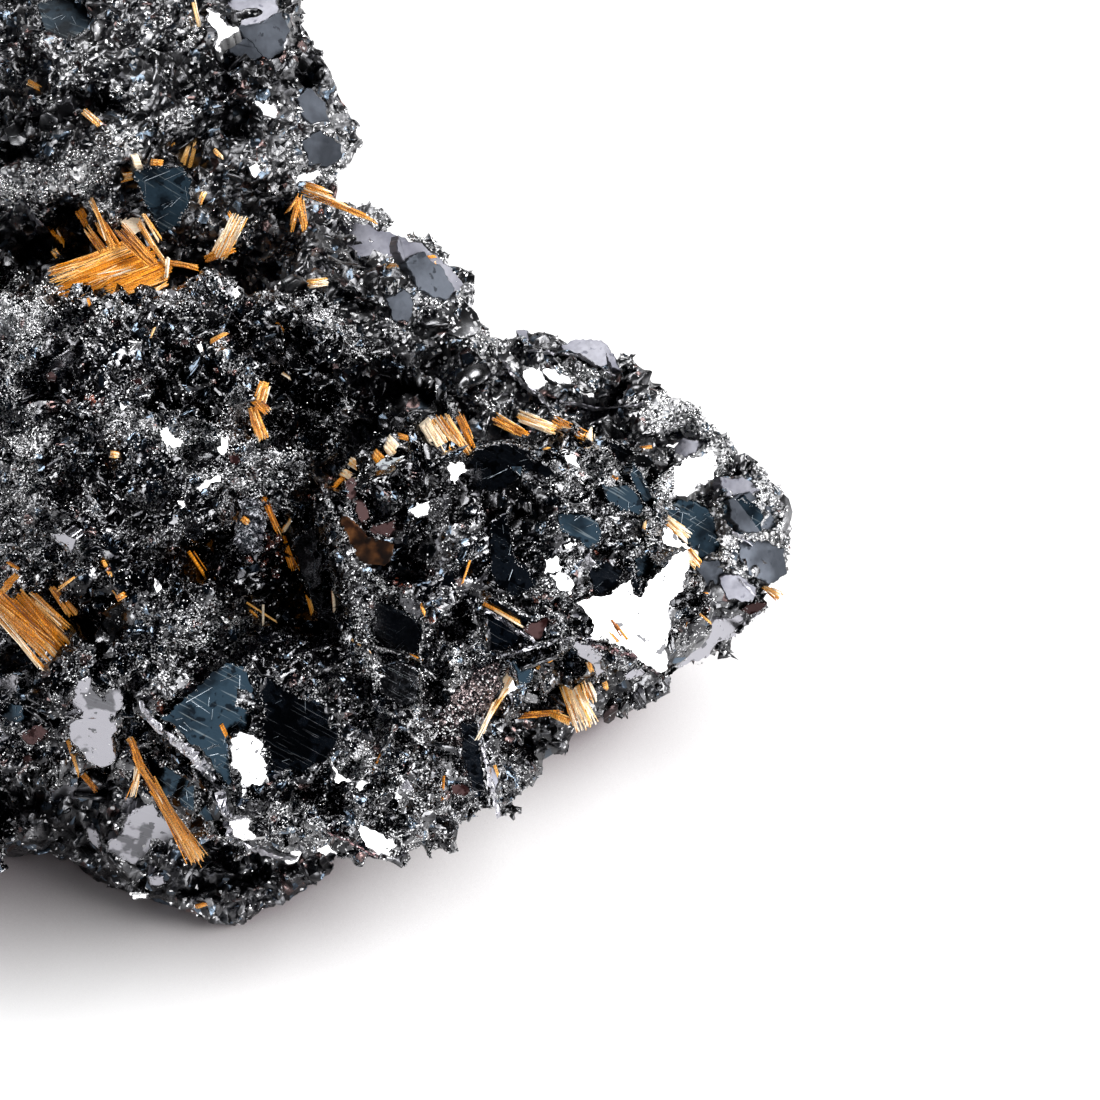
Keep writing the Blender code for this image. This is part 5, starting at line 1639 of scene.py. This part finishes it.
def planned_sprays():
    """The bundles of every spray in space, and the room that each keeps free of grains."""
    sprays, room = {}, []
    for number, (name, (root, tip, looks, bundles)) in enumerate(SPRAYS.items()):
        rng = np.random.default_rng(SEED + 60 + number)
        root, tip = np.array(root, float), np.array(tip, float)
        normal, level = spray_plane(root, tip, looks)
        made = []
        if not isinstance(bundles[0], tuple):
            width, laths = bundles
            side = unit(np.cross(tip - root, looks))
            for share in np.linspace(-1, 1, 5):
                end = tip + side * share * width * 0.42 + unit(tip - root) * rng.uniform(-0.8, 0.1)
                start = root + side * share * 0.5
                shade = 0.45 + 0.1 * rng.random()
                made.append(bundle(start, end, 0.7, 1.1, laths // 5, shade, normal, rng, 0.3))
            room.append((root, tip, width * 0.4))
        else:
            for x0, y0, x1, y1, root_width, tip_width, laths, shade in bundles:
                start, end = on_plane(np.array(((x0, y0), (x1, y1)), float), normal, level)
                start_lift, end_lift = rng.uniform(-0.1, 0.25, 2)
                start, end = start + normal * start_lift, end + normal * end_lift
                widths = np.array((root_width, tip_width)) * PIXEL * float((start - EYE) @ AHEAD)
                made.append(bundle(start, end, *widths, laths, shade, normal, rng))
                room.append((start, end, 0.25 + max(widths) * 0.5))
        sprays[name] = made
    return sprays, room


def stray_bundles(surface):
    """Single laths lying on the skin from pixel to pixel."""
    rng = np.random.default_rng(SEED + 6)
    made = []
    for x0, y0, x1, y1, width, shade in STRAYS:
        ends = surface.hits(np.array(((x0, y0), ((x0 + x1) / 2, (y0 + y1) / 2), (x1, y1)), float))
        if len(ends) < 3:
            continue
        depth = np.median((ends - EYE) @ AHEAD) - 0.3
        start, end = EYE + pixel_rays(((x0, y0), (x1, y1))) * depth
        wide = width * PIXEL * depth
        laths = 1 if width < 2.5 else int(round(width / 1.6))
        part = bundle(start, end, wide, wide * 0.9, laths, shade, -AHEAD, rng, 0.08)
        keep = slice(None) if width > 3 else slice(0, laths)
        made.append(tuple(column[keep] for column in part))
    return made


def face_needles(plans):
    """Fine bright needles on the blue and dark faces, in three directions a sixth of a turn apart."""
    rng = np.random.default_rng(SEED + 8)
    parts = []
    for kind, normal, level, corners in plans.values():
        if kind not in ("blue", "dark"):
            continue
        low, high = corners.min(0), corners.max(0)
        count = int(np.prod(high - low) / (150 if kind == "blue" else 420))
        starts = rng.uniform(low, high, (count, 2))
        starts = starts[in_outline(starts, corners)]
        count = len(starts)
        turn = math.radians(-28) + rng.choice((0, 0, 0, 1.05, 2.1), count) + rng.normal(0, 0.2, count)
        reach = rng.uniform(5, 14, count) * np.where(rng.random(count) < 0.2, 2.5, 1)
        ends = starts + np.stack((np.cos(turn), np.sin(turn)), 1) * reach[:, None]
        inside = in_outline(ends, corners)
        lift = level + 0.03
        roots, tips = on_plane(starts[inside], normal, lift), on_plane(ends[inside], normal, lift)
        count = len(roots)
        widths = rng.uniform(0.012, 0.035, count)
        facings = unit(normal + rng.normal(0, 0.35, (count, 3)))
        points, quads, uv = lath_arrays(roots, tips, widths, np.ones(count), facings, 0.6)
        parts.append((points, quads.tolist(), uv, rng.random(3)))
    points, faces, crystal, uv = joined(parts)
    finish = hematite("needle_steel", grit=0.1, dull=0.3, tint=rgb(0.30, 0.34, 0.38), stained=0.1, dust=0)
    return make_piece("face_needles", points, faces, finish, crystal, uv)


def rim_grains(plans):
    """Bright grains strung along the edges of the flat faces, turned to the light."""
    rng = np.random.default_rng(SEED + 10)
    centres, looks = [], []
    for kind, normal, level, corners in plans.values():
        if kind in ("white", "pale", "web", "mist", "haze", "ash"):
            continue
        edge = ragged_edge(corners, rng, 1.0)
        edge = edge[rng.random(len(edge)) < (0.3 + 0.7 * rng.random())]
        edge = edge + rng.normal(0, 0.8, edge.shape)
        centres.append(on_plane(edge, normal, level))
        looks.append(np.broadcast_to(normal, centres[-1].shape))
    centres, looks = np.concatenate(centres), np.concatenate(looks)
    count = len(centres)
    sizes = rng.uniform(0.04, 0.11, count)
    light = LIGHT_NORMALS[rng.integers(0, len(LIGHT_NORMALS), count)]
    axes = unit(light + rng.normal(0, 0.12, (count, 3)))
    turns = turns_from(axes, rng.normal(size=(count, 3)))
    shape = np.stack((np.ones(count), rng.uniform(0.5, 1.0, count), rng.uniform(0.2, 0.5, count)), 1)
    points, faces = grain_arrays(centres + looks * 0.02, turns, sizes[:, None] * shape, rng)
    finish = hematite("rim_steel", grit=0.3, dull=0.15, tint=rgb(0.45, 0.45, 0.46), stained=0.15, dust=0.1)
    crystal = np.repeat(rng.random((count, 3)), 5, 0)
    return make_piece("rim_grains", points, faces, finish, crystal)


def pale_end_piece(surface, laths):
    """The broad pale ends of laths that the photograph shows face on."""
    rng = np.random.default_rng(SEED + 9)
    ends = []
    for shade, corners in PALE_ENDS.values():
        corners = np.array(corners, float)
        hits = surface.hits(corners.mean(0)[None])
        if len(hits):
            normal = LIGHT_NORMALS[3]
            made = outline_plate(corners, normal, hits[0] @ normal + 0.9, 0.6, rng, 0.5)
            ends.append((*made, (shade, 0.5, 0.5)))
    points, faces, crystal, uv = joined(ends)
    make_piece("rutile_pale_ends", points, faces, laths, crystal, uv)


# ---- the whole -------------------------------------------------------------------------------------------


def dress_specimen():
    """Makes every piece of the specimen."""
    points, faces = merged_arrays(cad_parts["hematite_mass"])
    points, quads = remeshed(points, faces, SKIN_VOXEL)
    triangles = triangles_of(quads)
    points = pitted(points)
    plans = planned_facets(Surface(points, triangles))
    points, calm = seated(points, plans)
    points = roughened(points, quads, calm)
    surface = Surface(points, triangles)

    finish = hematite("hematite_skin", False, 0.9, dust=0.13)
    skin = make_piece("hematite_skin", points, triangles, finish, ground=ground_at(points, 3.0))
    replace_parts(skin, "hematite_mass")
    facet_pieces(plans)
    edge_pieces(surface)

    sprays, room = planned_sprays()
    growth = Growth(surface, plans, room)
    tablets = hematite("tablets", True, 0.12, 0.07, 0.2, dust=0.04)
    grains = hematite("grains", True, 0.3, 0.08, dust=0.08)
    for name, (count, radius, thick, corners, seed) in PLATES.items():
        scattered_plates(growth, name, count, radius, thick, corners, tablets, seed)
    for name, (count, radius, seed) in GRAINS.items():
        scattered_grains(growth, name, count, radius, grains, seed)
    bright = hematite("frost_steel", True, 0.1, 0.02, tint=rgb(0.85, 0.85, 0.86), stained=0.0, dust=0)
    frost_grains(growth, "frost_grains", FROST_GRAINS, bright, 15)
    red_crystal_piece(surface)
    face_needles(plans)
    rim_grains(plans)

    laths = rutile()
    for name, made in sprays.items():
        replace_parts(lath_piece(name + "_laths", made, laths), name)
    lath_piece("stray_laths", stray_bundles(surface), laths)
    pale_end_piece(surface, laths)


def paper_floor():
    """A wide sheet of white paper under the specimen."""
    mesh = bpy.data.meshes.new("paper_floor")
    corners = [(-1, -1), (1, -1), (1, 1), (-1, 1)]
    mesh.from_pydata([(x * PAPER_HALF, y * PAPER_HALF, 0) for x, y in corners], [], [(0, 1, 2, 3)])
    mesh.materials.append(white_paper())
    floor = bpy.data.objects.new("paper_floor", mesh)
    bpy.context.scene.collection.objects.link(floor)


def square_lamp(name, way, radiance, width):
    """A square lamp that faces the specimen, so many degrees wide as seen from it, of the given radiance."""
    way = Vector(way).normalized()
    side = 2 * LAMP_DISTANCE * math.tan(math.radians(width / 2))
    lamp = bpy.data.lights.new(name, "AREA")
    lamp.shape = "SQUARE"
    lamp.size = side
    lamp.energy = radiance * math.pi * side * side
    panel = bpy.data.objects.new(name, lamp)
    panel.location = way * LAMP_DISTANCE
    panel.rotation_mode = "QUATERNION"
    panel.rotation_quaternion = (-way).to_track_quat("-Z", "Y")
    panel.visible_camera = False
    bpy.context.scene.collection.objects.link(panel)
    return panel


def studio():
    """Panels that the hematite mirrors, a soft lamp for matt things, and a room that mirrors see dark."""
    for name, (way, radiance, width) in PANELS.items():
        square_lamp("panel_" + name, way, radiance, width).visible_diffuse = False
    square_lamp("soft_key", *SOFT_KEY).visible_glossy = False

    world = bpy.data.worlds.new("studio")
    world.use_nodes = True
    nodes = Nodes(world.node_tree)
    world.node_tree.nodes.clear()
    way = nodes.add("ShaderNodeTexCoord").outputs["Generated"]
    split = nodes.add("ShaderNodeSeparateXYZ", None, {0: way})
    height = Value(nodes, split.outputs[2])
    near = Value(nodes, split.outputs[1])
    patches = nodes.noise(way, 2.6, 2.0)
    dark = nodes.mix(patches.rising(0.45, 0.68), rgb(0.003, 0.003, 0.004), rgb(0.035, 0.038, 0.045))
    front = (0.0 - near).rising(0.3, 0.9) * patches.rising(0.38, 0.55)
    dark = nodes.mix(front * 0.9, dark, rgb(0.035, 0.06, 0.095))
    dark = nodes.mix(1 - height.rising(0.0, 0.12), dark, rgb(0.16, 0.165, 0.18))
    path = nodes.add("ShaderNodeLightPath")
    mirrored = nodes.add("ShaderNodeBackground", None, {"Color": dark, "Strength": 1.0})
    soft = nodes.add("ShaderNodeBackground", None, {"Color": rgb(0.97, 0.98, 1.0), "Strength": ROOM_LIGHT})
    seen = nodes.add("ShaderNodeBackground", None, {"Color": rgb(0.975, 0.975, 0.978), "Strength": 1.0})
    shares = {0: path.outputs["Is Diffuse Ray"], 1: mirrored.outputs[0], 2: soft.outputs[0]}
    mixed = nodes.add("ShaderNodeMixShader", None, shares)
    shares = {0: path.outputs["Is Camera Ray"], 1: mixed.outputs[0], 2: seen.outputs[0]}
    mixed = nodes.add("ShaderNodeMixShader", None, shares)
    nodes.add("ShaderNodeOutputWorld", None, {"Surface": mixed.outputs[0]})
    world.cycles.sampling_method = "NONE"
    bpy.context.scene.world = world


def camera():
    """The camera at the photograph's view."""
    data = bpy.data.cameras.new("camera")
    data.lens = LENS
    data.sensor_width = SENSOR
    data.clip_start = 0.005
    data.clip_end = 20.0
    holder = bpy.data.objects.new("camera", data)
    holder.location = Vector(EYE) * MM
    holder.rotation_mode = "QUATERNION"
    holder.rotation_quaternion = Vector(AHEAD).to_track_quat("-Z", "Y")
    bpy.context.scene.collection.objects.link(holder)
    bpy.context.scene.camera = holder
    bpy.context.scene.view_settings.view_transform = "Standard"


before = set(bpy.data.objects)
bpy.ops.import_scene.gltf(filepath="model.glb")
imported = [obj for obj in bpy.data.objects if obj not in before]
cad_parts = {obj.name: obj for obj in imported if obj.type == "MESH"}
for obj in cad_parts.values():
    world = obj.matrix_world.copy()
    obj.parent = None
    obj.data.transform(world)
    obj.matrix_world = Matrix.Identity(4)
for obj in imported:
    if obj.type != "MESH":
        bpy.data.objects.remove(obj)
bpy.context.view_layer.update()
dress_specimen()
paper_floor()
studio()
camera()
